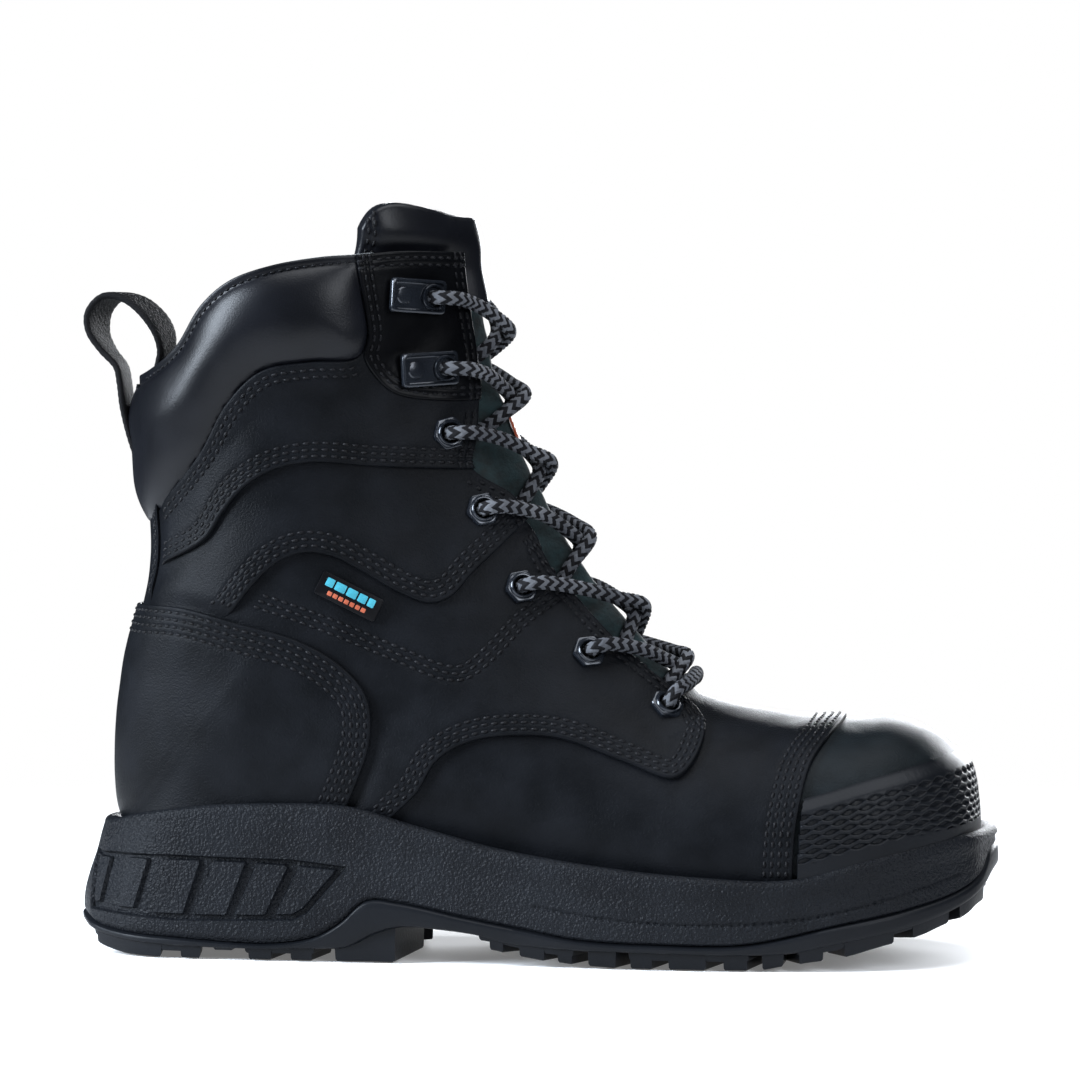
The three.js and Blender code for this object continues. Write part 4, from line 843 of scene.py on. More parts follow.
UNDER_RIM = ("rim", -6.0)  # the leather ends this far down inside the midsole
for side, s in SIDES:
    half = HALF[s]
    _, quarter_rows = panel(
        f"quarter_panel_{side}", f"quarter_{side}", half,
        [("vamp", 0), (("mid", -1), -7), ("throat", 0), (("counter", -1), -8), UNDER_RIM],
        LEATHER, edges=[("vamp", 1.9, 26), ("throat", 0.0, 5)],
        rows=[("vamp", (2.0, 4.3, 6.6)), ("throat", (2.2, 4.6)), ("qseam", (-2.3, 0.0, 2.3))],
        covers=["mid", "counter"], holes=True)
    _, mid_rows = panel(
        f"mid_leather_{side}", f"mid_panel_{side}", half,
        [("mid", 0), (("shaft", -1), -7), ("throat", 0), (("counter", -1), -8), (("backstay", -1), -8)],
        LEATHER, edges=[("mid", 1.9, 24), ("throat", 0.0, 5)],
        rows=[("mid", (2.2, 4.5, 6.8)), ("throat", (2.2, 4.6))], covers=["shaft", "counter", "backstay"],
        holes=True)
    _, shaft_rows = panel(
        f"shaft_leather_{side}", f"shaft_panel_{side}", half,
        [("shaft", 0), ("cseam", 0), ("throat", 0), (("facing", -1), -6), (("backstay", -1), -8), ("top", 1)],
        LEATHER, edges=[("shaft", 1.9, 24), ("cseam", 1.3, 14), ("throat", 0.0, 5)],
        rows=[("shaft", (2.0, 4.2, 6.4)), ("cseam", (2.6, 5.0)), ("throat", (2.2, 4.6))],
        covers=["facing", "backstay"], holes=True)
    _, facing_rows = panel(
        f"eyelet_facing_{side}", f"facing_{side}", half,
        [("facing", 0), ("top", 0), ("throat", 0)], PATENT,
        edges=[("facing", 1.1, 16), ("top", 0.6, 10), ("throat", 0.2, 5)],
        rows=[("facing", (2.2, 4.4)), ("top", (2.2, 4.6)), ("throat", (2.2, 4.6))], holes=True)
    stitches(f"stitching_quarter_{side}", quarter_rows + mid_rows)
    stitches(f"stitching_shaft_{side}", shaft_rows + facing_rows)

_, vamp_rows = panel(
    "vamp_leather", "vamp", GRID,
    [(("toe", -1), 0), (("vamp", -1), -7), (("z", -1), -93), UNDER_RIM], LEATHER,
    edges=[(("toe", -1), 2.1, 17)], rows=[(("toe", -1), (2.2, 4.6, 7.0, 9.4))], covers=["vamp"])
panel(
    "toe_cap_cover", "toe_cap_leather", GRID, [("toe", -4), UNDER_RIM], TOE_SKIN,
    base=0.4, thick=1.0, outer=lambda k, p: 1.3 * smooth(k.col("toe"), 0, 16))
_, heel_rows = panel(
    "heel_counter_leather", "heel_counter", GRID, [("counter", 0), UNDER_RIM], LEATHER,
    base=1.0, thick=1.5, edges=[("counter", 0.9, 26)], rows=[("counter", (2.0, 4.4, 6.8, 9.2))])
_, backstay_rows = panel(
    "backstay_leather", "backstay", GRID, [("backstay", 0), (("counter", -1), -6), (("z", -1), -193.5)],
    LEATHER, base=0.6, thick=1.3, edges=[("backstay", 0.9, 9), (("z", -1), 0.0, 4)],
    rows=[("backstay", (2.2, 4.6))], covers=["counter"])
stitches("stitching_vamp", vamp_rows)
stitches("stitching_heel", heel_rows + backstay_rows)


# ------------------------------------------------------------------ padded collar, linings
COLLAR_PUFF, COLLAR_CREASE = 5.0, 0.35  # how far the collar stands out, and its unevenness
ROLL_PUFF = 8.2  # and how far its lining stands in
PUFF_REACH = 17  # from a seam to the full height beside it


def collar_outer(skin, p):
    """Stuffed between its seam and the row of stitches along the top."""
    puff = swell(-skin.col("cseam") / PUFF_REACH) * swell((skin.col("top") - 3.2) / PUFF_REACH)
    return -0.7 + COLLAR_PUFF * puff + COLLAR_CREASE * puff * ripple(p, 31, 1.0)


def lining_roll(skin, p):
    return -2.7 - ROLL_PUFF * swell((4 - skin.col("cseam")) / 16) * swell((skin.col("top") - 0.5) / 15)


COLLAR_CLIPS = [(("cseam", -1), -4), ("top", 0)]
collar_obj, collar_rows = panel(
    "padded_collar", "collar", GRID, COLLAR_CLIPS, COLLAR_SKIN, outer=collar_outer,
    edges=[("top", 0.0, 5)], rows=[("top", (2.4,))], covers=["backstay"], thick=1.4,
    extra=[(("cseam", -1), 0.0), (("cseam", -1), 1.5), ("top", 3.6), ("top", 5.0)])
stitches("stitching_collar", collar_rows, pitch=2.8, long=2.1, radius=0.4)
lining_obj, _ = panel(
    "collar_lining_roll", "collar_lining", GRID, COLLAR_CLIPS, LINING, outer=lining_roll,
    thick=1.2, edges=[("top", 0.0, 5)])
foam_obj, _ = panel(
    "collar_padding", "collar_foam", GRID, [(("cseam", -1), 1), ("top", 3)], FOAM,
    outer=lambda k, p: collar_outer(k, p) - 1.8, inner=lambda k, p: lining_roll(k, p) + 0.4)


# under the toe cap the lining lies deeper, below the safety cap
panel("boot_lining", "lining", GRID, [("lining", 0), ("cseam", -3), ("z", 22), ("top", 0)], LINING,
      outer=lambda skin, p: -2.4 - 2.6 * (1 - smooth(skin.col("u"), 6, 7)), thick=1.6)


# ------------------------------------------------------------------ tongue and gussets
TONGUE_SIDE = 9.6  # how deep the tongue lies under the facings


def tongue_depth(u, q):
    """How deep the tongue lies under the last's surface: little at the middle, more towards its sides."""
    width = np.abs(section(u, q, -1.0)[..., 1] - rows_at(u)[..., 4])
    middle = 1.5 + 2.7 * smooth(u, 14, 19)
    return -middle - (TONGUE_SIDE - middle) * smooth(width, 1, 13)


def skin_tongue_depth(skin):
    return tongue_depth(skin.col("u"), skin.col("q"))


PAD_Z = 222.0  # the smooth leather top of the tongue starts here
tongue_obj, _ = panel(
    "tongue_cloth", "tongue", GRID, [("tongue", 0), ("q", 1.15), (("z", -1), -PAD_Z - 6), (("x", -1), -52)],
    TONGUE_CLOTH, thick=3.4, edges=[("tongue", 0.0, 5)], edge_r=1.2,
    outer=lambda skin, p: skin_tongue_depth(skin) + 0.35 * ripple(p, 17, 4.0))


def pad_outer(skin, p):
    full = swell(skin.col("padtop") / 13) * swell(skin.col("tongue") / 9)
    depth = skin_tongue_depth(skin) * (1 - 0.35 * smooth(skin.col("z"), 232, 246))
    return depth + 1.0 + 2.4 * full + 0.25 * ripple(p, 23, 5.0)


def pad_inner(skin, p):
    full = swell(skin.col("padtop") / 12) * swell(skin.col("tongue") / 9)
    return skin_tongue_depth(skin) - 1.6 - 4.0 * full * smooth(skin.col("z"), 226, 240)


pad_obj, pad_rows = panel(
    "tongue_top_padding", "tongue_top_pad", GRID, [("padtop", 0), ("tongue", 0), ("q", 1.1), ("z", PAD_Z)],
    COLLAR_SKIN, outer=pad_outer, inner=pad_inner, edge_r=1.4,
    edges=[("padtop", 0.0, 5), ("tongue", 0.0, 5)], rows=[("tongue", (2.6, 4.8))], body=None)
pad_thread = stitches("tongue_top_stitching", pad_rows, body=None)
for obj in (pad_obj, pad_thread):
    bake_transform(obj)
for side, s in SIDES:
    panel(f"tongue_gusset_{side}", f"gusset_{side}", HALF[s],
          [("throat", -1), (("throat", -1), -24), ("z", 92), (("z", -1), -231), (("q", -1), -1.72)],
          TONGUE_CLOTH, outer=lambda k, p: -8.1 + 0.4 * ripple(p, 21, 3.0), thick=0.9)


# ------------------------------------------------------------------ toe bumper
def last_tree(u0, u1):
    """The bare last between two stations, to cast rays at."""
    uu, qq = np.meshgrid(np.linspace(u0, u1, 130), np.linspace(0, 2, 100), indexing="ij")
    idx = np.arange(uu.size).reshape(uu.shape)
    quads = np.stack([idx[:-1, :-1], idx[1:, :-1], idx[1:, 1:], idx[:-1, 1:]], -1).reshape(-1, 4)
    verts = np.vstack([section(uu, qq, s).reshape(-1, 3) for _, s in SIDES])
    return BVHTree.FromPolygons(verts.tolist(), np.vstack([quads, quads + uu.size]).tolist())


BUMP_ROW = 2.2  # height of one row of dashes
BUMP_DASH = 6.0  # length of a dash and its gap
BUMP_LEDGE = 4.8  # the sloping ledge above the first row
BUMP_BAND = 4.5  # plain band above the midsole
BUMP_BACK = 88.0  # x where the bumper ends
BUMP_DEEP = 33.0  # from its top edge to below the midsole's rim
BUMP_BASE = 1.4  # its inner face over the last
BUMP_STATION = 9  # the station behind it
BUMP_THIN, BUMP_THICK = 2.5, 1.9  # its face over the last at the top, and how much more lower down
DASH_DEPTH = 0.95
TOE_MIDDLE = (90, 5)  # a point inside the toe, to tell outward from inward
RAY_BACK, RAY_REACH = 22, 60


def bumper_columns(per_dash):
    """Columns round the toe in step with the dashes: distance from the tip, plan position, way out."""
    fine = np.linspace(BUMP_STATION, 0, 400)
    outline = np.vstack([section(fine, 1.0, -1), section(fine[::-1], 1.0, 1)[1:]])[:, :2]
    travel = travel_along(outline)
    travel -= travel[len(fine) - 1]
    ends = travel[outline[:, 0] > BUMP_BACK][[0, -1]] * per_dash / BUMP_DASH
    w = np.arange(math.ceil(ends[0]), ends[1]) * BUMP_DASH / per_dash
    at = columns_at(w, travel, outline)
    d = unit(np.gradient(at, axis=0))
    out = np.stack([d[:, 1], -d[:, 0], 0 * w], 1)
    return w, at, out * np.sign((out[:, :2] * (at - TOE_MIDDLE)).sum(1))[:, None]


def cast_out(tree, at, z, out):
    """Points and normals where level rays from inside the last meet it."""
    spots, normals = np.zeros((len(z), 3)), np.zeros((len(z), 3))
    for k in range(len(z)):
        way = Vector(out[k])
        start = Vector((*at[k], z[k])) - way * RAY_BACK
        spot, facing, _, _ = tree.ray_cast(start, way, RAY_REACH)
        spots[k] = start + way * RAY_BACK if spot is None else spot
        facing = out[k] if spot is None else np.array(facing)
        normals[k] = facing if facing @ out[k] > 0 else -facing
    return spots, unit(normals)


def dash_pattern(w, depth):
    """How far each place lies inside a lens-shaped dash, 0 to 1; every second row is set off by half."""
    row = (depth - BUMP_LEDGE) / BUMP_ROW
    number = np.floor(row)
    v = row - number - 0.5
    f = w / BUMP_DASH + 0.5 * (number % 2)
    f = f - np.floor(f) - 0.5
    return smooth(0.43 * (1 - (2.15 * f) ** 2) - np.abs(v), -0.02, 0.16)


def toe_bumper():
    per_dash, per_row = ((12, 8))
    w, at, out = bumper_columns(per_dash)
    ledge_rows = [0, 0.15, 0.4, 0.9, 1.7, 2.8, 3.9, 4.5]
    deep = np.concatenate([ledge_rows, np.arange(BUMP_LEDGE, BUMP_DEEP, BUMP_ROW / per_row)])
    seam = spline(TOE_SEAM, 0.5)[::-1]
    tree = last_tree(0, BUMP_STATION)
    ledge = height_at(BUMPER_TOP, at[:, 0])
    rim = height_at(RIM, at[:, 0])
    outer, inner = [], []
    for b in deep:
        z = np.maximum(ledge - b, rim - 3 + 0.002 * (BUMP_DEEP - b))
        spots, normals = cast_out(tree, at, z, out)
        # columns behind the toe seam are drawn up to it
        behind = at[:, 0] < np.interp(z, seam[:, 1], seam[:, 0]) + 1.2
        for s, end in ((-1, 0), (1, -1)):
            mine = behind & (np.sign(w) == s)
            edge = np.nonzero(~behind & (np.sign(w) == s))[0][end]
            spots[mine], normals[mine] = spots[edge], normals[edge]
        depth = ledge - z
        dashed = (depth > BUMP_LEDGE) & (z > rim + BUMP_BAND)
        rise = BUMP_THIN + BUMP_THICK * smooth(depth, 0.3, BUMP_LEDGE)
        rise = rise - DASH_DEPTH * dash_pattern(w, depth) * dashed
        rise = np.where(b == 0, 1.6, rise)  # the top edge is rounded off
        outer.append(spots + normals * rise[:, None])
        inner.append(spots + normals * BUMP_BASE)
    n, rows = len(w), len(deep)
    faces = flipped(strip_quads(rows_of(rows, n), closed=False))
    back = [tuple(i + rows * n for i in f[::-1]) for f in faces]
    border = [(k, k + 1) for k in range(n - 1)]
    border += [(r * n + n - 1, (r + 1) * n + n - 1) for r in range(rows - 1)]
    border += [((rows - 1) * n + k + 1, (rows - 1) * n + k) for k in range(n - 1)]
    border += [((r + 1) * n, r * n) for r in range(rows - 1)]
    faces += back + [(a, b, b + rows * n, a + rows * n) for a, b in border]
    obj = make_object("toe_bumper_rubber", np.vstack(outer + inner), faces, SMOOTH_RUBBER)
    clean = bmesh.new()
    clean.from_mesh(obj.data)
    bmesh.ops.remove_doubles(clean, verts=clean.verts, dist=0.00002)
    bmesh.ops.recalc_face_normals(clean, faces=clean.faces)
    clean.to_mesh(obj.data)
    clean.free()
    finish_piece(obj, ["toe_bumper"], sharp=60)


toe_bumper()

# ------------------------------------------------------------------ sole
SOLE_BACK_X, SOLE_FRONT_X = -158.0, 156.4
SOLE_TIP_Y = 5.0
SOLE_PLAN = np.array([  # share of the length from the heel; half widths outer, inner
    [0.012, -16, -16], [0.0, 0, 0], [0.012, 16, 16], [0.03, 24, 24], [0.08, 35, 35], [0.15, 40.5, 40.5],
    [0.25, 43.5, 42.5], [0.35, 45.5, 42], [0.45, 49, 42], [0.55, 54, 46], [0.65, 58, 53], [0.75, 58.5, 58],
    [0.85, 54, 56.5], [0.92, 44.5, 49], [0.97, 29, 35], [0.99, 14, 23], [1.0, -5, 5], [0.99, -24, -13],
])
SIDE_PROFILE = [[-2, 3], [8, 0.6], [18, 0], [33, 0.6], [47, 1.8], [60, 3]]  # height, inset
HEEL_LEAN = 7.5


def plan_rows(t):
    """Rows of the sole's plan at places t from heel (0) to toe (1), and their x."""
    r = catmull(SOLE_PLAN, 1 + np.asarray(t) * (len(SOLE_PLAN) - 3))
    return r, SOLE_BACK_X + (SOLE_FRONT_X - SOLE_BACK_X) * r[..., 0]


def plan_x(t):
    return plan_rows(t)[1]


def sole_wall(t, s, z):
    """Point of the sole's side; t runs 0 to 1 from heel to toe."""
    t, s, z = np.broadcast_arrays(np.asarray(t, float), np.asarray(s, float), np.asarray(z, float))
    r, x = plan_rows(t)
    y = np.where(s < 0, -r[..., 1], r[..., 2])
    inset = height_at(SIDE_PROFILE, z)
    lean = HEEL_LEAN * smooth(z, 14, 50) * (1 - smooth(x, SOLE_BACK_X, -105))
    centre = SOLE_TIP_Y * smooth(r[..., 0], 0.86, 0.94)
    return np.stack([x * (1 - inset / 160) + lean, centre + (y - centre) * (1 - inset / 55), z], -1)


def ring_places(step):
    """Places round the sole, heel to toe on the outer side and back on the inner: t, side, and how many
    of them go towards the toe."""
    fine = np.linspace(0, 1, 3000)
    path = (sole_wall(fine, -1, 20.0) + sole_wall(fine, 1, 20.0) * [1, -1, 1]) / 2
    travel = travel_along(path)
    t = np.interp(np.linspace(0, travel[-1], int(travel[-1] / step) + 1), travel, fine)
    sides = np.concatenate([np.full(len(t), -1.0), np.full(len(t) - 2, 1.0)])
    return np.concatenate([t, t[-2:0:-1]]), sides, len(t)


def ring_outward(point, t, s, step, up):
    """Way out of the sole's side; at the heel and toe, where its two halves meet, square to the boot."""
    along = point(np.minimum(t + step, 1)) - point(np.maximum(t - step, 0))
    ends = ((t < step) | (t > 1 - step))[:, None]
    along = np.where(ends, [0, 1, 0] * np.where(t < 0.5, s, -s)[:, None], along)
    return unit(np.cross(along, up) * np.where(s < 0, 1, -1)[:, None])


def poly_field(points, x, z):
    """Signed distance inside a closed outline."""
    pts = np.asarray(points, float)
    best = np.full(x.shape, 1e9)
    inside = np.zeros(x.shape, bool)
    for a, b in zip(pts, np.roll(pts, -1, axis=0)):
        d = b - a
        t = np.clip(((x - a[0]) * d[0] + (z - a[1]) * d[1]) / (d @ d), 0, 1)
        best = np.minimum(best, np.hypot(x - a[0] - t * d[0], z - a[1] - t * d[1]))
        hit = ((a[1] > z) != (b[1] > z)) & (x < d[0] * (z - a[1]) / (d[1] if d[1] else 1e-9) + a[0])
        inside ^= hit
    return np.where(inside, best, -best)


WINDOW = [[-152, 34.5], [-120, 35], [-79, 34.2], [-60, 32], [-74, 16], [-79, 13.4], [-120, 12.6],
          [-152.5, 14.5]]
PADS = [  # top left, top right, bottom right, bottom left
    [[-150.5, 33], [-144.5, 33], [-148.5, 17], [-151.5, 17]],
    [[-138, 33.5], [-129.5, 33.5], [-135, 16], [-142, 16]],
    [[-123, 33.6], [-110.5, 33.6], [-117, 14.6], [-129, 14.8]],
    [[-106.5, 33.4], [-94.8, 33.2], [-102, 14.6], [-114, 14.6]],
    [[-91.6, 33], [-80, 32.4], [-88.5, 14.9], [-99.5, 14.8]],
    [[-77, 32.2], [-63.5, 31], [-75.5, 17.5], [-79, 15.4], [-85.5, 15.1]],
]
GROOVE_LINE = [[4, 20], [26, 16.5], [59, 15], [92, 17], [125, 24.6], [144, 30.6]]
BEAD = 2.4  # rounding of the midsole's top edge
LEDGE_DROP = 1.0
PARTING_GAP = 0.25


class WallSkin(Skin):
    """The midsole's side; u is the place round the sole, q the share of its height."""

    def point(self, t, q, s):
        x = plan_x(t)
        low = height_at(PARTING, x) + PARTING_GAP
        high = height_at(RIM, x) - BEAD
        return sole_wall(t, s, low + (high - low) * q)

    def base(self):
        t, q, s = self.a[:, 0], self.a[:, 1], self.a[:, 2]
        up = self.point(t, np.minimum(q + 0.02, 1), s) - self.point(t, np.maximum(q - 0.02, 0), s)
        return self.point(t, q, s), ring_outward(lambda near: self.point(near, q, s), t, s, 0.002, up)


def wall_grid(step, rows):
    """The midsole's side as a skin, and how many vertices go round it."""
    t, s, _ = ring_places(step)
    n = len(t)
    q = np.repeat(np.linspace(0, 1, rows), n)
    a = np.zeros((n * rows, len(COLUMN)))
    a[:, :3] = np.stack([np.tile(t, rows), q, np.tile(s, rows)], 1)
    a[:, LOCK] = (q < 1e-9) | (q > 1 - 1e-9)
    k = np.arange(n)
    tris = []
    for r in range(rows - 1):
        i, j = k + r * n, (k + 1) % n + r * n
        tris += [np.stack([i, j, i + n], 1), np.stack([j, j + n, i + n], 1)]
    skin = WallSkin(a, np.vstack(tris))
    p, _ = skin.base()
    x, z = p[:, 0], p[:, 2]
    a[:, COLUMN["window"]] = poly_field(WINDOW, x, z)
    a[:, COLUMN["pad"]] = np.max([poly_field(pad, x, z) for pad in PADS], axis=0)
    line = spline(GROOVE_LINE, 1.5)
    a[:, COLUMN["groove"]] = np.min([np.hypot(x - spot[0], z - spot[1]) for spot in line], axis=0)
    return skin, n


def upper_tree():
    """The lower part of the finished upper, to end the midsole's ledge on."""
    verts, faces = [], []
    low_enough = 62
    names = ["vamp_leather", "toe_cap_cover", "toe_bumper_rubber", "heel_counter_leather"]
    names += [f"quarter_panel_{side}" for side, _ in SIDES]
    for name in names:
        mesh = bpy.data.objects[name].data
        co = np.zeros(len(mesh.vertices) * 3)
        mesh.vertices.foreach_get("co", co)
        co = co.reshape(-1, 3) / MM
        start = len(verts)
        verts += co.tolist()
        for f in mesh.polygons:
            if co[f.vertices[0], 2] < low_enough:
                faces.append([v + start for v in f.vertices])
    return BVHTree.FromPolygons(verts, faces)


BEAD_STEPS = 5
WINDOW_DEPTH, PAD_RISE, LINE_DEPTH = 1.7, 1.4, 0.9


def ledge_reach(crest, inward):
    """How far in from the crest of its bead the midsole's ledge runs to meet the upper."""
    tree = upper_tree()
    reach = np.zeros(len(crest))
    back = 4
    for k in range(len(crest)):
        way = Vector(inward[k])
        start = Vector(crest[k] + [0, 0, -LEDGE_DROP]) - way * back
        spot, _, _, far = tree.ray_cast(start, way, 40)
        reach[k] = 6.0 if spot is None else far - back
    reach = np.convolve(np.concatenate([reach[-4:], reach, reach[:4]]), np.ones(9) / 9, "valid")
    return np.maximum(reach, 0.6)


def midsole():
    skin, n = wall_grid(0.95, 52)
    for name, level in (("window", 0.0), ("window", 0.55), ("pad", 0.0), ("pad", 0.5), ("groove", 1.1)):
        skin.split(name, level)
    p, normals = skin.base()
    h = -WINDOW_DEPTH * np.clip(skin.col("window") / 0.55, 0, 1)
    h = h + PAD_RISE * np.clip(skin.col("pad") / 0.5, 0, 1)
    h = h - LINE_DEPTH * np.exp(-(skin.col("groove") / 0.6) ** 2)
    edge = skin.col("q")
    h = h + 0.8 * smooth(edge, 0.62, 0.95) - 0.9 * (1 - smooth(edge, 0.0, 0.045))
    h = h + 0.06 * ripple(p, 23)
    wall = p + normals * h[:, None]
    bottom = np.arange(n)
    top = np.nonzero(edge > 1 - 1e-9)[0][:n]
    inward = unit(-normals[top] * [1, 1, 0])
    rows = []
    for k in range(1, BEAD_STEPS + 1):
        w = math.pi / 2 * k / BEAD_STEPS
        rows.append(wall[top] + inward * (BEAD * (1 - math.cos(w))) + [0, 0, BEAD * math.sin(w)])
    crest = rows[-1]
    reach = ledge_reach(crest, inward)
    for k in (0.35, 0.7, 1.0):
        rows.append(crest + inward * (reach * k)[:, None] - [0, 0, LEDGE_DROP * k * k])
    rows.append(rows[-1] + inward * 2.6 - [0, 0, 1.0])
    rows.append(rows[-1] + inward * 1.0 - [0, 0, 5])
    rows.append(wall[bottom] + inward * 9 + [0, 0, 2.0])
    strips = [top] + [len(wall) + n * k + np.arange(n) for k in range(len(rows))] + [bottom]
    faces = [tuple(f) for f in skin.t] + strip_quads(strips)
    obj = make_object("midsole_rubber", np.vstack([wall] + rows), faces, RUBBER)
    finish_piece(obj, ["midsole"], sharp=42)


midsole()

LUG_DRAFT = 0.7
LUGS = [  # outer edge from x to x, height of its foot above the ground, depth inwards, slant of its ends
    (-152, -112, 2.2, 25, -3), (-151, -126.5, 0, 24, -3), (-120, -112.5, 0, 22, -3),
    (-108.5, -101, 2.9, 20, 0), (-97.5, -72.5, 2.2, 27, 3), (-96, -87.5, 0, 26, 3), (-81.5, -73.5, 0, 26, 3),
    (-66, -44.5, 0, 30, 6), (-16, 17, 2.6, 25, 7), (-12, -7, 0, 24, 7), (-2, 7, 0, 24, 7),
    (11, 16.5, 0, 24, 7), (21.5, 31.5, 0, 18, 5), (35.5, 76.5, 2.9, 29, 6), (36, 44, 0, 28, 6),
    (49, 62, 0, 28, 6), (67.5, 76, 0, 28, 6), (80.5, 88, 0, 20, 0), (92, 130, 2.9, 26, -7),
    (92.5, 101, 0, 25, -7), (107, 123.5, 0, 25, -7), (129, 141, 0.2, 22, -9), (144, 152, 0.2, 18, -10),
]
LUG_ROOT = 1.2  # how far a lug reaches up into the sole
MIDDLE_LUG_R, MIDDLE_LUG_SHARE = 6.2, 0.62
MIDDLE_LUG_Y = 2.0
MIDDLE_LUGS = [  # six-sided lugs: x, and a size whose share is the half width
    (-138, 13), (-118, 12), (-96, 12), (-76, 12), (-4, 13), (14, 13), (32, 15), (50, 17), (68, 18),
    (86, 18), (104, 17), (121, 15), (136, 11),
]


def lug(outline, z_top, z_low):
    """A lug from its outline with a top and a foot height for each point, and a bevelled foot."""
    inner = unit(outline.mean(0) - outline)
    rings = [np.column_stack([outline, z_top]),
             np.column_stack([outline + inner * LUG_DRAFT * 0.5, z_low + LUG_DRAFT]),
             np.column_stack([outline + inner * LUG_DRAFT * 1.4, z_low])]
    rows = rows_of(3, len(outline))
    return np.vstack(rings), flipped(strip_quads(rows)) + [tuple(rows[0]), tuple(rows[2])[::-1]]


def plan_ground(x):
    """Height of the lowest tread surface at x."""
    return np.maximum(height_at(GROUND, x), 0)


def side_lug(x0, x1, raised, deep, slant, s):
    """A lug along the edge of the sole on one side."""
    fine = np.linspace(0, 1, 1500)
    fx = plan_x(fine)
    pick = fine[(fx >= x0) & (fx <= x1)]
    at = pick[np.linspace(0, len(pick) - 1, 9).astype(int)]
    outer = sole_wall(at, s, plan_ground(plan_x(at)) + 1.5)[:, :2]
    middle = outer[[0, -1]] - [0, s * deep]
    middle[np.abs(outer[[0, -1], 1]) < deep + 3, 1] = s * 3
    points = np.vstack([outer, middle[::-1] + [slant, 0]])
    z_top = height_at(ROOT, points[:, 0]) + LUG_ROOT
    z_low = np.minimum(plan_ground(points[:, 0]) + raised, z_top - 1.5)
    turn = -1 if s > 0 else 1
    return lug(points[::turn], z_top[::turn], z_low[::turn])


def middle_lug(x, size):
    w = np.radians([150, -150, -90, -30, 30, 90])
    y = MIDDLE_LUG_Y + size * MIDDLE_LUG_SHARE * np.sin(w)
    points = np.stack([x + MIDDLE_LUG_R * np.cos(w), y], 1)
    return lug(points, height_at(ROOT, points[:, 0]) + LUG_ROOT, plan_ground(points[:, 0]) + 0.3)


def outsole_slab():
    """The outsole above its lugs: a rim that follows the parting line, closed above and below."""
    t, s, half = ring_places(1.3)
    n = len(t)
    x = plan_x(t)
    high = height_at(PARTING, x) - 0.15
    low = np.minimum(height_at(ROOT, x), high - 1.0)
    span = high - low

    def ring(z, proud):
        out = ring_outward(lambda near: sole_wall(near, s, z), t, s, 0.003, [0, 0, 1.0])
        return sole_wall(t, s, z) + out * proud

    rings = [ring(high + 1.3, -5.0), ring(high + 0.1, -0.9), ring(high - 0.45, 0.25), ring(high - 1.0, 0.55)]
    rings += [ring(high - 1.0 - (span - 1.0) * 0.8 * k, 0.55) for k in (0.25, 0.5, 0.75)]
    rings += [ring(low + 0.2 * span, 0.5), ring(low + 0.07 * span, 0.1), ring(low, -1.2)]
    faces = flipped(strip_quads(rows_of(len(rings), n)))
    cap = []
    for k in range(half - 1):
        a, b, c, d = k, k + 1, (n - k - 1) % n, (n - k) % n
        quad = (a, b, c, d)
        if k == 0:
            quad = (a, b, c)
        elif k == half - 2:
            quad = (a, b, d)
        cap.append(quad)
    faces += cap + [tuple(i + (len(rings) - 1) * n for i in f[::-1]) for f in cap]
    return np.vstack(rings), faces


def outsole():
    parts = [outsole_slab()]
    parts += [side_lug(*row, s) for row in LUGS for _, s in SIDES]
    parts += [middle_lug(*row) for row in MIDDLE_LUGS]
    obj = make_object("outsole_rubber", *joined(parts), SMOOTH_RUBBER)
    finish_piece(obj, ["outsole"], sharp=38)


outsole()

# ------------------------------------------------------------------ eyelets, hooks and rivets
def place_on(hole, local, forward=None):
    """Points given as (forward, sideways, up) at a lace hole, in millimetres of the frame."""
    z = hole["n"]
    x = np.array([1.0, 0, 0]) if forward is None else forward
    x = unit(x - z * (x @ z))
    y = np.cross(z, x)
    local = np.asarray(local, float)
    return hole["at"] + local[:, :1] * x + local[:, 1:2] * y + local[:, 2:3] * z


def polygon(corners, round_r, per_corner=6):
    """A convex outline with rounded corners."""
    corners = np.asarray(corners, float)
    out = []
    n = len(corners)
    for k in range(n):
        c, a, b = corners[k], corners[k - 1], corners[(k + 1) % n]
        u, v = unit(a - c), unit(b - c)
        cut = round_r / math.tan(math.acos(np.clip(u @ v, -1, 1)) / 2)
        start, stop = c + u * cut, c + v * cut
        for t in np.linspace(0, 1, per_corner):
            out.append((1 - t) ** 2 * start + 2 * (1 - t) * t * c + t * t * stop)
    return np.array(out)


def ring_loft(rings, closed=False):
    """Faces between rings of equal count; the ends get a cap unless the loft closes on itself."""
    rows = rows_of(len(rings), len(rings[0]))
    if closed:
        return np.vstack(rings), strip_quads(rows + rows[:1])
    return np.vstack(rings), strip_quads(rows) + [tuple(rows[0])[::-1], tuple(rows[-1])]


def at_height(outline, z):
    return np.column_stack([outline, np.full(len(outline), float(z))])


def circles(table, count, at=(0, 0)):
    """Level rings from a table of radius and height."""
    w = 2 * math.pi * np.arange(count) / count
    way = np.stack([np.cos(w), np.sin(w)], 1)
    return [at_height(at + radius * way, z) for radius, z in table]


def plate_rings(x0, x1, y0, y1, radius, per_corner, profile):
    """Rings of a plate with rounded corners; profile: how far each ring lies inside the edge, its height."""
    shape = polygon([(x0, y0), (x1, y0), (x1, y1), (x0, y1)], radius, per_corner)
    middle = np.array([(x0 + x1) / 2, (y0 + y1) / 2])
    size = np.array([(x1 - x0) / 2, (y1 - y0) / 2])
    return [at_height(middle + (shape - middle) * (size - inset) / size, z) for inset, z in profile]


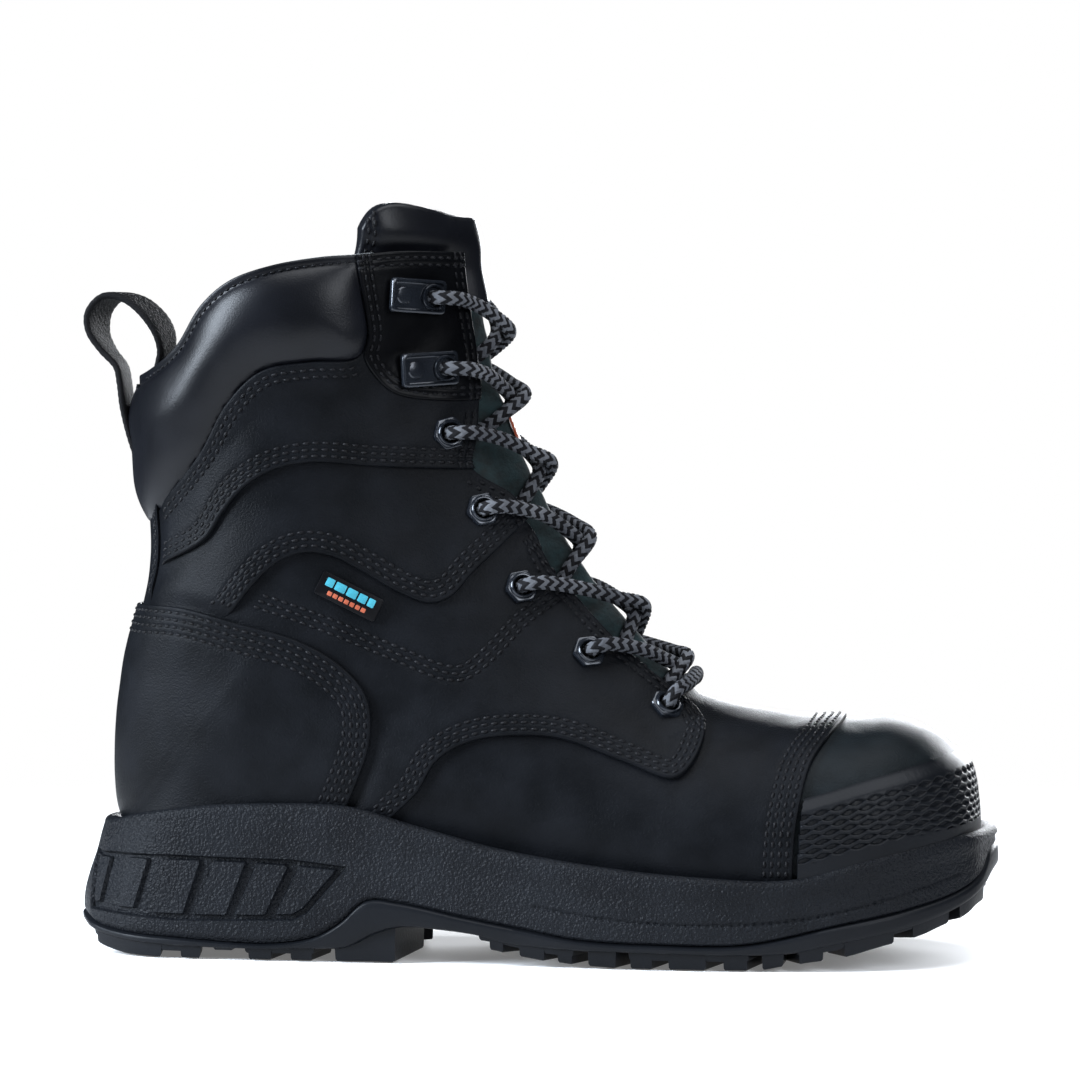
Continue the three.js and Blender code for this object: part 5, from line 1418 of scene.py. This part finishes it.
def around(outline, count):
    """The same outline as count points at even angles about its own origin."""
    w = 2 * math.pi * np.arange(count) / count
    a = np.unwrap(np.arctan2(outline[:, 1], outline[:, 0]))
    order = np.argsort(np.mod(a, 2 * math.pi))
    a = np.mod(a, 2 * math.pi)[order]
    pts = outline[order]
    a = np.concatenate([[a[-1] - 2 * math.pi], a, [a[0] + 2 * math.pi]])
    pts = np.vstack([pts[-1], pts, pts[0]])
    return columns_at(w, a, pts)


def loft_on(hole, rings, forward=None, closed=False):
    return ring_loft([place_on(hole, ring, forward) for ring in rings], closed)


def metal_piece(name, node, parts):
    finish_piece(make_object(name, *joined(parts), GUNMETAL), [node], sharp=32)


HEX_R, BORE_R = 6.1, 3.2
HEX_TURN = 0.3
HEX_ROUND = 1.0
RIM_TOP = 3.3  # top of an eyelet's raised rim above the last's surface
ROUND_COUNT = 48
HEX_LEVELS = [(0.99, 0.7), (1.0, 1.1), (1.0, 1.75), (0.965, 2.15), (0.90, 2.3)]  # share of its size, height
EYELET_RIM = [  # radius, height
    (4.75, 2.3), (4.5, 2.5), (4.35, 3.0), (4.05, RIM_TOP), (3.7, RIM_TOP - 0.05), (3.35, 2.9), (BORE_R, 2.3),
    (BORE_R, -3.2), (3.9, -3.2), (3.9, 0.7),
]
HOOK_FRONT, HOOK_REAR, HOOK_HALF = 5.0, -16.0, 5.8
HOOK_LOW, HOOK_HIGH = 1.2, 3.2
HOOK_SHAPE = [  # how far inside the plate's edge, height
    (0.2, HOOK_LOW), (0, HOOK_LOW + 0.3), (0, HOOK_HIGH - 0.6), (0.2, HOOK_HIGH - 0.2), (0.55, HOOK_HIGH),
    (1.0, HOOK_HIGH), (1.35, HOOK_HIGH - 0.45), (1.7, HOOK_HIGH - 0.6),
]
HOOK_BORE = [  # radius, height
    (4.6, HOOK_HIGH - 0.75), (4.5, HOOK_HIGH + 0.2), (4.2, HOOK_HIGH + 0.65), (3.75, HOOK_HIGH + 0.6),
    (BORE_R + 0.05, HOOK_HIGH), (BORE_R, HOOK_HIGH - 0.5),
]
RIVET_REACH = 11.0  # from the hook's bore back to its rivet
RIVET = [(1.8, -1.6), (1.8, 0.6), (3.0, 0.7), (3.0, HOOK_HIGH - 0.5), (2.6, HOOK_HIGH - 0.1),
         (1.4, HOOK_HIGH + 0.12)]


def hex_eyelet(hole):
    corners = [(HEX_R * math.cos(HEX_TURN + k * math.pi / 3), HEX_R * math.sin(HEX_TURN + k * math.pi / 3))
               for k in range(6)]
    edge = around(polygon(corners, HEX_ROUND), ROUND_COUNT)
    rings = [at_height(edge * share, z) for share, z in HEX_LEVELS] + circles(EYELET_RIM, ROUND_COUNT)
    return loft_on(hole, rings, closed=True)


def hook_plate(hole):
    """The pressed plate, and the raised rim round its hole."""
    plate = plate_rings(HOOK_REAR, HOOK_FRONT, -HOOK_HALF, HOOK_HALF, 1.9, 7, HOOK_SHAPE)
    return [loft_on(hole, rings, hole["forward"]) for rings in (plate, circles(HOOK_BORE, ROUND_COUNT))]


for side, s in SIDES:
    for i, hole in enumerate(HOLES[s][:len(EYELETS)], 1):
        metal_piece(f"hex_eyelet_{side}_{i}", f"eyelet_{side}_{i}", [hex_eyelet(hole)])
for side, s in SIDES:
    for i, hole in enumerate(HOLES[s][len(EYELETS):], 1):
        metal_piece(f"hook_plate_{side}_{i}", f"lace_hook_{side}_{i}", hook_plate(hole))
        dome = circles(RIVET, 24, (-RIVET_REACH, 0))
        metal_piece(f"rivet_{side}_{i}", f"hook_rivet_{side}_{i}", [loft_on(hole, dome, hole["forward"])])

# ------------------------------------------------------------------ lace
LACE_R = 2.35
LACE_REST = 3.0  # the lace's middle above the tongue
CROSS_LIFT = 4.6  # how far one strand rises over the other where they cross
OVER_FLAP = 3.2  # height over the last where the lace lies on a facing
UNDER_FLAP = -5.3  # and where it runs underneath
HOOK_RISE = 1.2  # how much higher it enters a hook than an eyelet
BAR_WIDE, BAR_HEIGHT = 24, 4.6  # the lowest strand, straight across between the lowest holes


def width_place(u, width, s):
    """Section place between the widest line and the ridge where the half width has a given value."""
    low, high = 1.0, 2.0
    for _ in range(30):
        mid = (low + high) / 2
        if abs(section(u, mid, s)[1]) > width:
            low = mid
        else:
            high = mid
    return (low + high) / 2


def on_last(u, q, s, height):
    return section(u, q, s) + normal(u, q, s) * height


def through_hole(hole, start, stop):
    """Points of the lace from above a hole, down through it and on underneath."""
    def flat(target):
        d = target - hole["at"]
        return unit(d - hole["n"] * (d @ hole["n"]))

    inward, outward = flat(start), flat(stop)
    rise = HOOK_RISE if hole["hook"] else 0.0
    spots = [(inward, 7.5, 5.0 + rise), (inward, 4.2, 5.5 + rise), (inward, 1.3, 4.5 + rise), (inward, 0, 2),
             (inward, 0, -1.6), (outward, 1.2, -4.2), (outward, 4.2, UNDER_FLAP)]
    return [hole["at"] + d * along + hole["n"] * up for d, along, up in spots]


FRONT_U = np.linspace(7.0, LAST, 260)


def place_at(z, y):
    """Place on the front of the last at a given height and sideways position."""
    s = -1 if y < 0 else 1
    low, high = np.ones(len(FRONT_U)), np.full(len(FRONT_U), 2.0)
    for _ in range(26):
        mid = (low + high) / 2
        wide = np.abs(section(FRONT_U, mid, s)[:, 1]) > abs(y)
        low, high = np.where(wide, mid, low), np.where(wide, high, mid)
    u = float(np.interp(z, section(FRONT_U, low, s)[:, 2], FRONT_U))
    return u, width_place(u, abs(y), s), s


def over_tongue(z, y, height):
    """A point over the tongue; height turns the lace's resting height there into its real one."""
    u, q, s = place_at(z, y)
    rest = float(tongue_depth(np.array([u]), np.array([q]))[0]) + LACE_REST
    return on_last(u, q, s, height(rest))


CROSS_STEPS = [  # share of the way across, of the climb, and how high it rides between tongue and flap
    (0.22, 0.12, 0.0), (0.36, 0.32, 0.0), (0.5, 0.5, 0.15), (0.64, 0.72, 0.75), (0.78, 0.90, 1.0),
]
LOW_START = 0.3  # the lowest strands climb by this share first, clear of the throat's corner


def crossing(start, stop, lifted, first):
    """Points from one hole up and across to the next; one strand is lifted over the other."""
    out = []
    for t, climb, ride in CROSS_STEPS:
        climb = climb + (1 - climb) * first
        y = start["at"][1] + (stop["at"][1] - start["at"][1]) * t
        z = start["at"][2] + (stop["at"][2] - start["at"][2]) * climb
        hump = CROSS_LIFT * (1 - min(abs(t - 0.5) / 0.26, 1)) if lifted else 0
        out.append(over_tongue(z, y, lambda rest: rest + (OVER_FLAP - rest) * ride + hump))
    return out


def half_lace(holes, other, lifted):
    """Points of one half of the lace, through its holes from the lowest to the top."""
    points = []
    for i, hole in enumerate(holes):
        front = on_last(*place_at(hole["at"][2] - 1.0, hole["s"] * 4.0), 0)
        before = other[0]["at"] if i == 0 else front
        after = front + [0, 0, 9] if i < len(holes) - 1 else hole["at"] + [-2, 0, -20]
        after = holes[1]["at"] if i == 0 else after
        passed = through_hole(hole, before, after)
        points += passed[1:] if i == 0 else passed
        if i < len(holes) - 1:
            points += crossing(hole, holes[i + 1], lifted, LOW_START if i == 0 else 0)
    return points


def zigzag(first, second):
    """Holes taken in turn from the two sides."""
    return [hole if i % 2 == 0 else second[i] for i, hole in enumerate(first)]


def tucked_end(hole):
    """The end of the lace, tucked under the facing below its last hole."""
    x, z = HOOKS[1][0]
    out = []
    for k in range(3):
        u, q = find_place(x - 1.5 - 1.3 * k, z - 9 - 9 * k, hole["s"])
        out.append(on_last(u, q, hole["s"], UNDER_FLAP))
    return out


outer_holes, inner_holes = HOLES[-1], HOLES[1]
way_a, way_b = zigzag(outer_holes, inner_holes), zigzag(inner_holes, outer_holes)
end_a, end_b = tucked_end(way_a[-1]), tucked_end(way_b[-1])
low_bar = []
for t in (-0.5, 0, 0.5):
    bar_u = outer_holes[0]["u"] - 0.15
    bar_s = -1 if t < 0 else 1
    low_bar.append(on_last(bar_u, width_place(bar_u, abs(t) * BAR_WIDE, bar_s), bar_s, BAR_HEIGHT))
ROUTE = np.array(end_a[::-1] + half_lace(way_a, inner_holes, True)[::-1] + low_bar
                 + half_lace(way_b, outer_holes, False) + end_b)


def frames_along(path):
    """Two directions square to a polyline and to each other, at each point, that don't spin round it."""
    d = unit(np.gradient(path, axis=0))
    side = np.zeros_like(d)
    side[0] = unit(np.cross(d[0], [0, 0, 1.0]))
    for k in range(1, len(path)):
        side[k] = unit(side[k - 1] - d[k] * (side[k - 1] @ d[k]))
    return side, np.cross(d, side)


def even(path, step):
    """The same path with points an even step apart, and their distances along it."""
    travel = travel_along(path)
    at = np.linspace(0, travel[-1], int(travel[-1] / step) + 1)
    return columns_at(at, travel, path), at


BRAID_STRANDS = 8  # each way round the lace
BRAID_PITCH = 15.0  # length in which a strand goes once round
BRAID_RELIEF = 0.22


def braid_cells(a, b):
    """For cell numbers of the two families of strands: which one is on top, and whether it is grey."""
    over = ((a + b) // 2) % 2 == 0
    return over, np.where(over, a % 2 == 0, b % 2 == 0)


def braid_relief(count, lengths, share):
    """Radius of the lace at each place: crowned strands, over and under each other."""
    i, j = np.meshgrid(np.arange(count), np.arange(lengths))
    a, b = (i + j) * share + 1e-6, (i - j) * share + 1e-6
    over, _ = braid_cells(np.floor(a).astype(int), np.floor(b).astype(int))
    middle = np.where(over, a - np.floor(a), b - np.floor(b)) - 0.5
    crown = 1 - (2 * middle) ** 2
    return LACE_R - BRAID_RELIEF + BRAID_RELIEF * 1.5 * np.sqrt(np.maximum(crown, 0))


def braided_lace():
    n = 32  # places round the lace, a multiple of the strands
    share = BRAID_STRANDS / n
    path, at = even(spline(ROUTE, 0.3), BRAID_PITCH / n)
    side, up = frames_along(path)
    w = 2 * math.pi * np.arange(n) / n
    r = braid_relief(n, len(at), share)
    ring = np.cos(w)[None, :, None] * side[:, None] + np.sin(w)[None, :, None] * up[:, None]
    verts = (path[:, None] + r[..., None] * ring).reshape(-1, 3)
    i, j = np.meshgrid(np.arange(n), np.arange(len(at) - 1))
    i, j = i.ravel(), j.ravel()
    k = (i + 1) % n
    p00, p10, p01, p11 = j * n + i, j * n + k, (j + 1) * n + i, (j + 1) * n + k
    # each cell is cut along the strand that crosses it, so that colours meet on strand edges
    anti = ((i + j + 1) % (n // BRAID_STRANDS) == 0)[:, None]
    one = np.where(anti, np.stack([p00, p10, p01], 1), np.stack([p00, p10, p11], 1))
    two = np.where(anti, np.stack([p10, p11, p01], 1), np.stack([p00, p11, p01], 1))
    corner = np.stack([i, j], 1)
    mid = np.vstack([np.where(anti, [1 / 3, 1 / 3], [2 / 3, 1 / 3]) + corner,
                     np.where(anti, [2 / 3, 2 / 3], [1 / 3, 2 / 3]) + corner])
    _, grey = braid_cells(*np.floor((mid[:, 0] + [[1], [-1]] * mid[:, 1]) * share).astype(int))
    ends = rows_of(len(at), n)
    faces = [tuple(f) for f in np.vstack([one, two])] + [tuple(ends[0])[::-1], tuple(ends[-1])]
    obj = make_object("braided_lace", verts, faces, LACE_BLACK)
    obj.data.materials.append(LACE_GREY)
    obj.data.polygons.foreach_set("material_index", np.append(grey.astype(int), [0, 0]).tolist())
    finish_piece(obj, ["lace"])


braided_lace()

AGLET_LONG = 16.0
AGLET = [  # distance along the lace's end, radius
    (0.02, 2.1), (0.6, 1.75), (1.5, 1.7), (AGLET_LONG - 0.8, 1.7), (AGLET_LONG - 0.2, 1.5), (AGLET_LONG, 1.0),
]


def aglet(end):
    d = unit(end[-1] - end[-2])
    x = unit(np.cross(d, [0, 1.0, 0]))
    y = np.cross(d, x)
    w = 2 * math.pi * np.arange(20)[:, None] / 20
    return ring_loft([end[-1] + d * z + r * (np.cos(w) * x + np.sin(w) * y) for z, r in AGLET])


for side, end in (("lateral", end_a), ("medial", end_b)):
    finish_piece(make_object(f"lace_tip_{side}", *aglet(end), TAB_BLACK), [f"aglet_{side}"],
                 sharp=50)

# ------------------------------------------------------------------ webbing pull loop
WEB_HALF = 10.0
WEB_THICK = 2.3
LOOP_TWIST = math.radians(13)  # the loop has turned a little on its base
STRAP_BASE = [[-138.5, 170], [-140.7, 177], [-142.8, 186], [-143.8, 194]]
STRAP_LOOP = [[-145, 199.5], [-149.5, 205], [-153, 211.5], [-152.6, 218.5], [-147.5, 223.6], [-140.5, 222.6],
              [-134, 217.5], [-130, 211], [-129.2, 205]]
STRAP_END = [[-130.6, 199.5], [-131, 192]]
RIB_PITCH = 2.3  # one rib of the weave
RIB_WIDE = 5.0  # width of one zigzag of the ribs
SELVAGE = 1.3


def woven_strap(name, nodes, points):
    step = 0.34
    line = spline(points, 0.3)
    path, at = even(np.stack([line[:, 0], 0 * line[:, 0], line[:, 1]], 1), step)
    d = unit(np.gradient(path, axis=0))
    out = np.stack([-d[:, 2], 0 * at, d[:, 0]], 1)
    cols = 60
    y = np.linspace(-WEB_HALF, WEB_HALF, cols)
    edge = np.sqrt(np.maximum(1 - (np.abs(y) / WEB_HALF) ** 8, 0.0))
    zigzag_share = np.abs(y % RIB_WIDE - RIB_WIDE / 2) / (RIB_WIDE / 2)
    selvage = 0.12 * (np.abs(y) > WEB_HALF - SELVAGE)
    rings = []
    for k in range(len(path)):
        rib = 0.16 * np.abs(np.sin(math.pi * (at[k] / RIB_PITCH + zigzag_share))) * edge
        half = 0.25 + (WEB_THICK / 2 - 0.25) * edge + rib + selvage * edge
        turn = LOOP_TWIST * float(smooth(path[k][2], 198, 218))
        across = path[k] + np.column_stack([y * math.sin(turn), y * math.cos(turn), 0 * y])
        rise = out[k] * half[:, None]
        rings.append(np.vstack([across + rise, (across - rise)[::-1]]))
    obj = make_object(name, *ring_loft(rings), WEB)
    finish_piece(obj, nodes, body=None)
    return obj


strap = woven_strap("pull_loop_webbing", ["pull_loop", "pull_loop_base"], STRAP_BASE + STRAP_LOOP + STRAP_END)
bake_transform(strap)

# ------------------------------------------------------------------ side tab and tongue tab
TAB_CORNERS = [[-69, 131], [-49, 121], [-52, 114], [-71.5, 124]]
TAB_DEEP = 8.2
TAB_LOW, TAB_HIGH = 1.1, 2.3


def tab_frame():
    """Origin, axes (along, down, out) and length of the side label."""
    a, b, _, d = [section(*find_place(x, z, -1), -1) for x, z in TAB_CORNERS]
    along = unit(b - a)
    out = unit(np.cross(b - a, d - a))
    out = -out if out[1] > 0 else out
    down = unit(d - a - along * ((d - a) @ along))
    return a, (along, down, out), np.linalg.norm(b - a)


def flat_block(place, x0, x1, y0, y1, z0, z1, radius, bevel):
    """A thin plate with rounded corners and a bevelled front, at a place given as origin and axes."""
    profile = [(0.1, z0), (0, z0 + 0.15), (0, z1 - bevel), (bevel * 0.3, z1 - bevel * 0.3), (bevel, z1)]
    origin, axes = place
    return ring_loft([origin + ring[:, :1] * axes[0] + ring[:, 1:2] * axes[1] + ring[:, 2:] * axes[2]
                      for ring in plate_rings(x0, x1, y0, y1, radius, 5, profile)])


def label(name, parts, material, body, nodes=()):
    finish_piece(make_object(name, *joined(parts), material), nodes, body, sharp=35)


def bars(place, spans, y0, y1, z0, z1, radius, bevel):
    return [flat_block(place, x0, x1, y0, y1, z0, z1, radius, bevel) for x0, x1 in spans]


*tab, tab_long = tab_frame()
tab_body = flat_block(tab, 0, tab_long, 0, TAB_DEEP, TAB_LOW, TAB_HIGH, 0.7, 0.25)
label("side_tab_label", [tab_body], TAB_BLACK, "tab_flap", ["side_tab"])
# generic bars stand in for the two lines of lettering
BAR_FOOT, BAR_TOP = TAB_HIGH - 0.1, TAB_HIGH + 0.12
TEAL_SPANS = [(2.2, 5.0), (5.6, 9.4), (10.0, 13.6), (14.2, 17.2), (17.8, 20.2)]
ORANGE_SPANS = [(x, x + 1.6) for x in np.arange(4.2, 18, 2.1)]
teal_bars = bars(tab, TEAL_SPANS, 1.3, 4.2, BAR_FOOT, BAR_TOP, 0.4, 0.06)
orange_bars = bars(tab, ORANGE_SPANS, 5.4, 6.9, BAR_FOOT, BAR_TOP, 0.3, 0.06)
label("side_tab_teal_bars", teal_bars, TEAL, "tab_flap")
label("side_tab_orange_bars", orange_bars, ORANGE, "tab_flap")

mark_u = float(find_place(-9, 172, -1)[0])
mark_out = normal(mark_u, 2, -1)
mark_up = unit(np.array([0, 0, 1.0]) - mark_out * mark_out[2])
mark = section(mark_u, 2, -1), (mark_up, np.cross(mark_out, mark_up), mark_out)
mark_body = flat_block(mark, -3, 8, -3, 3, -1.2, -0.3, 0.5, 0.2)
label("tongue_mark", [mark_body], ORANGE, BOOT, ["tongue_tab"])
mark_bars = bars(mark, [(x, x + 1.0) for x in (0.6, 2.9, 5.2)], -2.2, 2.2, -0.4, -0.18, 0.3, 0.05)
label("tongue_mark_bars", mark_bars, PALE, BOOT)

# ------------------------------------------------------------------ footbed
FEATHER = STATIONS[:CLOSED, :2][::-1]  # x and z of the last's lower edge, heel to toe
BED_LOW, BED_HIGH = 3.1, 7.2
BED_BACK, BED_FRONT = -135.4, 131.8
BED_INSET = 9.8
BED_REACH = 5.5  # height over the feather line where its half width is taken
BACK_ROUND, FRONT_ROUND = 22, 30  # length of its round ends
BACK_HALF, FRONT_HALF = 60, 46
CUP_RISE = 2.6


def centre_y(x):
    return float(5 * smooth(x, 60, 150))


def bed_half(xs, floor_z, s):
    """Half widths of the footbed on one side, round at both ends."""
    width = []
    for x, z in zip(xs, floor_z):
        u, q = find_place(x, z + BED_REACH, s)
        width.append(abs(section(u, q, s)[1] - centre_y(x)) - BED_INSET)
    back = ((xs - BED_BACK - BACK_ROUND) / BACK_ROUND).clip(-1, 0)
    front = ((xs - BED_FRONT + FRONT_ROUND) / FRONT_ROUND).clip(0, 1)
    ends = BACK_HALF * np.sqrt(np.clip(1 - back ** 2, 0.03, 1))
    toes = FRONT_HALF * np.sqrt(np.clip(1 - front ** 2, 0.03, 1))
    return np.maximum(np.min([width, toes, ends], axis=0), 1)


def footbed():
    xs = np.append(np.arange(BED_BACK, BED_FRONT, 1.8), BED_FRONT)
    cols = 44
    line = np.linspace(-1, 1, cols)
    floor_z = np.interp(xs, *FEATHER.T)
    spread = np.convolve(np.pad(floor_z, 6, mode="edge"), np.ones(13) / 13, "valid")
    floor_z = np.maximum(spread, floor_z)
    outer, inner = [bed_half(xs, floor_z, s) for _, s in SIDES]
    edge = 1.2 * (np.abs(line) > 0.985)
    rings = []
    for k, x in enumerate(xs):
        y = centre_y(x) + line * np.where(line < 0, outer[k], inner[k])
        cup = (np.abs(line) ** 5) * CUP_RISE * (1 - 0.5 * float(smooth(x, 20, 110)))
        top = floor_z[k] + BED_HIGH + cup - 0.5
        across = np.column_stack([np.full(cols, x), y])
        rings.append(np.vstack([np.column_stack([across, top - edge]),
                                at_height(across, floor_z[k] + BED_LOW)[::-1]]))
    obj = make_object("footbed_cushion", *ring_loft(rings), FOAM)
    finish_piece(obj, ["footbed"], "footbed_body", sharp=60)


footbed()


# ------------------------------------------------------------------ inner CAD pieces that stay as they are
INNER = {
    "safety_toe_cap": SHELL, "counter_stiffener": SHELL, "insole_board": BOARD, "shank": STEEL,
    "anti_fatigue_insert": FOAM,
}
for node, obj in frame["nodes"].items():
    if not obj.hide_render:
        obj.data.materials.clear()
        obj.data.materials.append(INNER.get(node, RUBBER))

# ------------------------------------------------------------------ floor, light and camera
floor_mat = node_material("pale floor", (0.86, 0.86, 0.86), (0.90, 0.90, 0.90), 0.9, 40, 0.0001, patch=2.0)
floor_glow = floor_mat.node_tree.nodes["Principled BSDF"].inputs
floor_glow["Emission Color"].default_value = (1, 1, 1, 1)
floor_glow["Emission Strength"].default_value = 0.16
FLOOR_R = 0.75
FLOOR_Z = -0.0005


def fade_out(mat):
    """The floor fades into the white behind it, so that no horizon shows."""
    nodes, links = mat.node_tree.nodes, mat.node_tree.links
    place = nodes.new("ShaderNodeTexCoord")
    ball = nodes.new("ShaderNodeTexGradient")
    ball.gradient_type = "SPHERICAL"
    zoom = nodes.new("ShaderNodeMapping")
    zoom.inputs["Scale"].default_value = (1 / FLOOR_R, 1 / FLOOR_R, 1)
    ramp = nodes.new("ShaderNodeValToRGB")
    ramp.color_ramp.interpolation = "EASE"
    ramp.color_ramp.elements[0].position = 0.02
    ramp.color_ramp.elements[1].position = 0.55
    clear = nodes.new("ShaderNodeBsdfTransparent")
    mix = nodes.new("ShaderNodeMixShader")
    links.new(place.outputs["Object"], zoom.inputs["Vector"])
    links.new(zoom.outputs["Vector"], ball.inputs["Vector"])
    links.new(ball.outputs["Fac"], ramp.inputs["Fac"])
    links.new(ramp.outputs["Color"], mix.inputs[0])
    links.new(clear.outputs[0], mix.inputs[1])
    links.new(nodes["Principled BSDF"].outputs[0], mix.inputs[2])
    links.new(mix.outputs[0], nodes["Material Output"].inputs["Surface"])


fade_out(floor_mat)
bpy.ops.mesh.primitive_plane_add(size=2 * FLOOR_R, location=(0, 0, FLOOR_Z))
floor = bpy.context.object
floor.name = "floor"
floor.data.materials.append(floor_mat)


def softbox(name, at, target, size, power, color=(1, 1, 1)):
    data = bpy.data.lights.new(name, "AREA")
    data.shape = "RECTANGLE"
    data.size, data.size_y = size
    data.energy = power
    data.color = color
    light = bpy.data.objects.new(name, data)
    light.location = at
    light.rotation_euler = (Vector(target) - Vector(at)).to_track_quat("-Z", "Y").to_euler()
    bpy.context.scene.collection.objects.link(light)


CENTRE = (0.0, 0.0, 0.13)
softbox("top_light", (0.15, -0.20, 1.20), CENTRE, (1.2, 0.8), 18, (0.93, 0.96, 1.0))
softbox("front_light", (0.85, -1.15, 0.75), CENTRE, (0.6, 0.8), 17, (0.90, 0.94, 1.0))
softbox("back_light", (-1.25, -0.50, 0.62), CENTRE, (0.5, 0.8), 66, (0.80, 0.89, 1.0))
softbox("far_light", (0.3, 1.5, 0.38), CENTRE, (1.2, 0.45), 34, (0.93, 0.96, 1.0))

world = bpy.data.worlds.new("studio")
bpy.context.scene.world = world
world.use_nodes = True
sky_nodes, sky_links = world.node_tree.nodes, world.node_tree.links
dim = sky_nodes["Background"]
dim.inputs["Color"].default_value = (0.75, 0.86, 1.0, 1)
dim.inputs["Strength"].default_value = 0.07
white = sky_nodes.new("ShaderNodeBackground")
white.inputs["Color"].default_value = (1, 1, 1, 1)
ray = sky_nodes.new("ShaderNodeLightPath")
choose = sky_nodes.new("ShaderNodeMixShader")
sky_links.new(ray.outputs["Is Camera Ray"], choose.inputs[0])
sky_links.new(dim.outputs[0], choose.inputs[1])
sky_links.new(white.outputs[0], choose.inputs[2])
sky_links.new(choose.outputs[0], sky_nodes["World Output"].inputs["Surface"])
bpy.context.scene.view_settings.view_transform = "Standard"

AZIMUTH, ELEVATION = math.radians(6), math.radians(2)
DISTANCE = 1.8
AIM = Vector((0, 0, 0.1403))
WIDTH_AT_AIM = 0.369  # metres across the picture at the aim point
camera_data = bpy.data.cameras.new("camera")
camera_data.sensor_fit = "HORIZONTAL"
camera_data.angle = 2 * math.atan(WIDTH_AT_AIM / 2 / DISTANCE)
camera_data.clip_start = 0.05
camera = bpy.data.objects.new("camera", camera_data)
away = Vector((math.sin(AZIMUTH) * math.cos(ELEVATION), -math.cos(AZIMUTH) * math.cos(ELEVATION),
               math.sin(ELEVATION)))
camera.location = AIM + away * DISTANCE
camera.rotation_euler = away.to_track_quat("Z", "Y").to_euler()
bpy.context.scene.collection.objects.link(camera)
bpy.context.scene.camera = camera
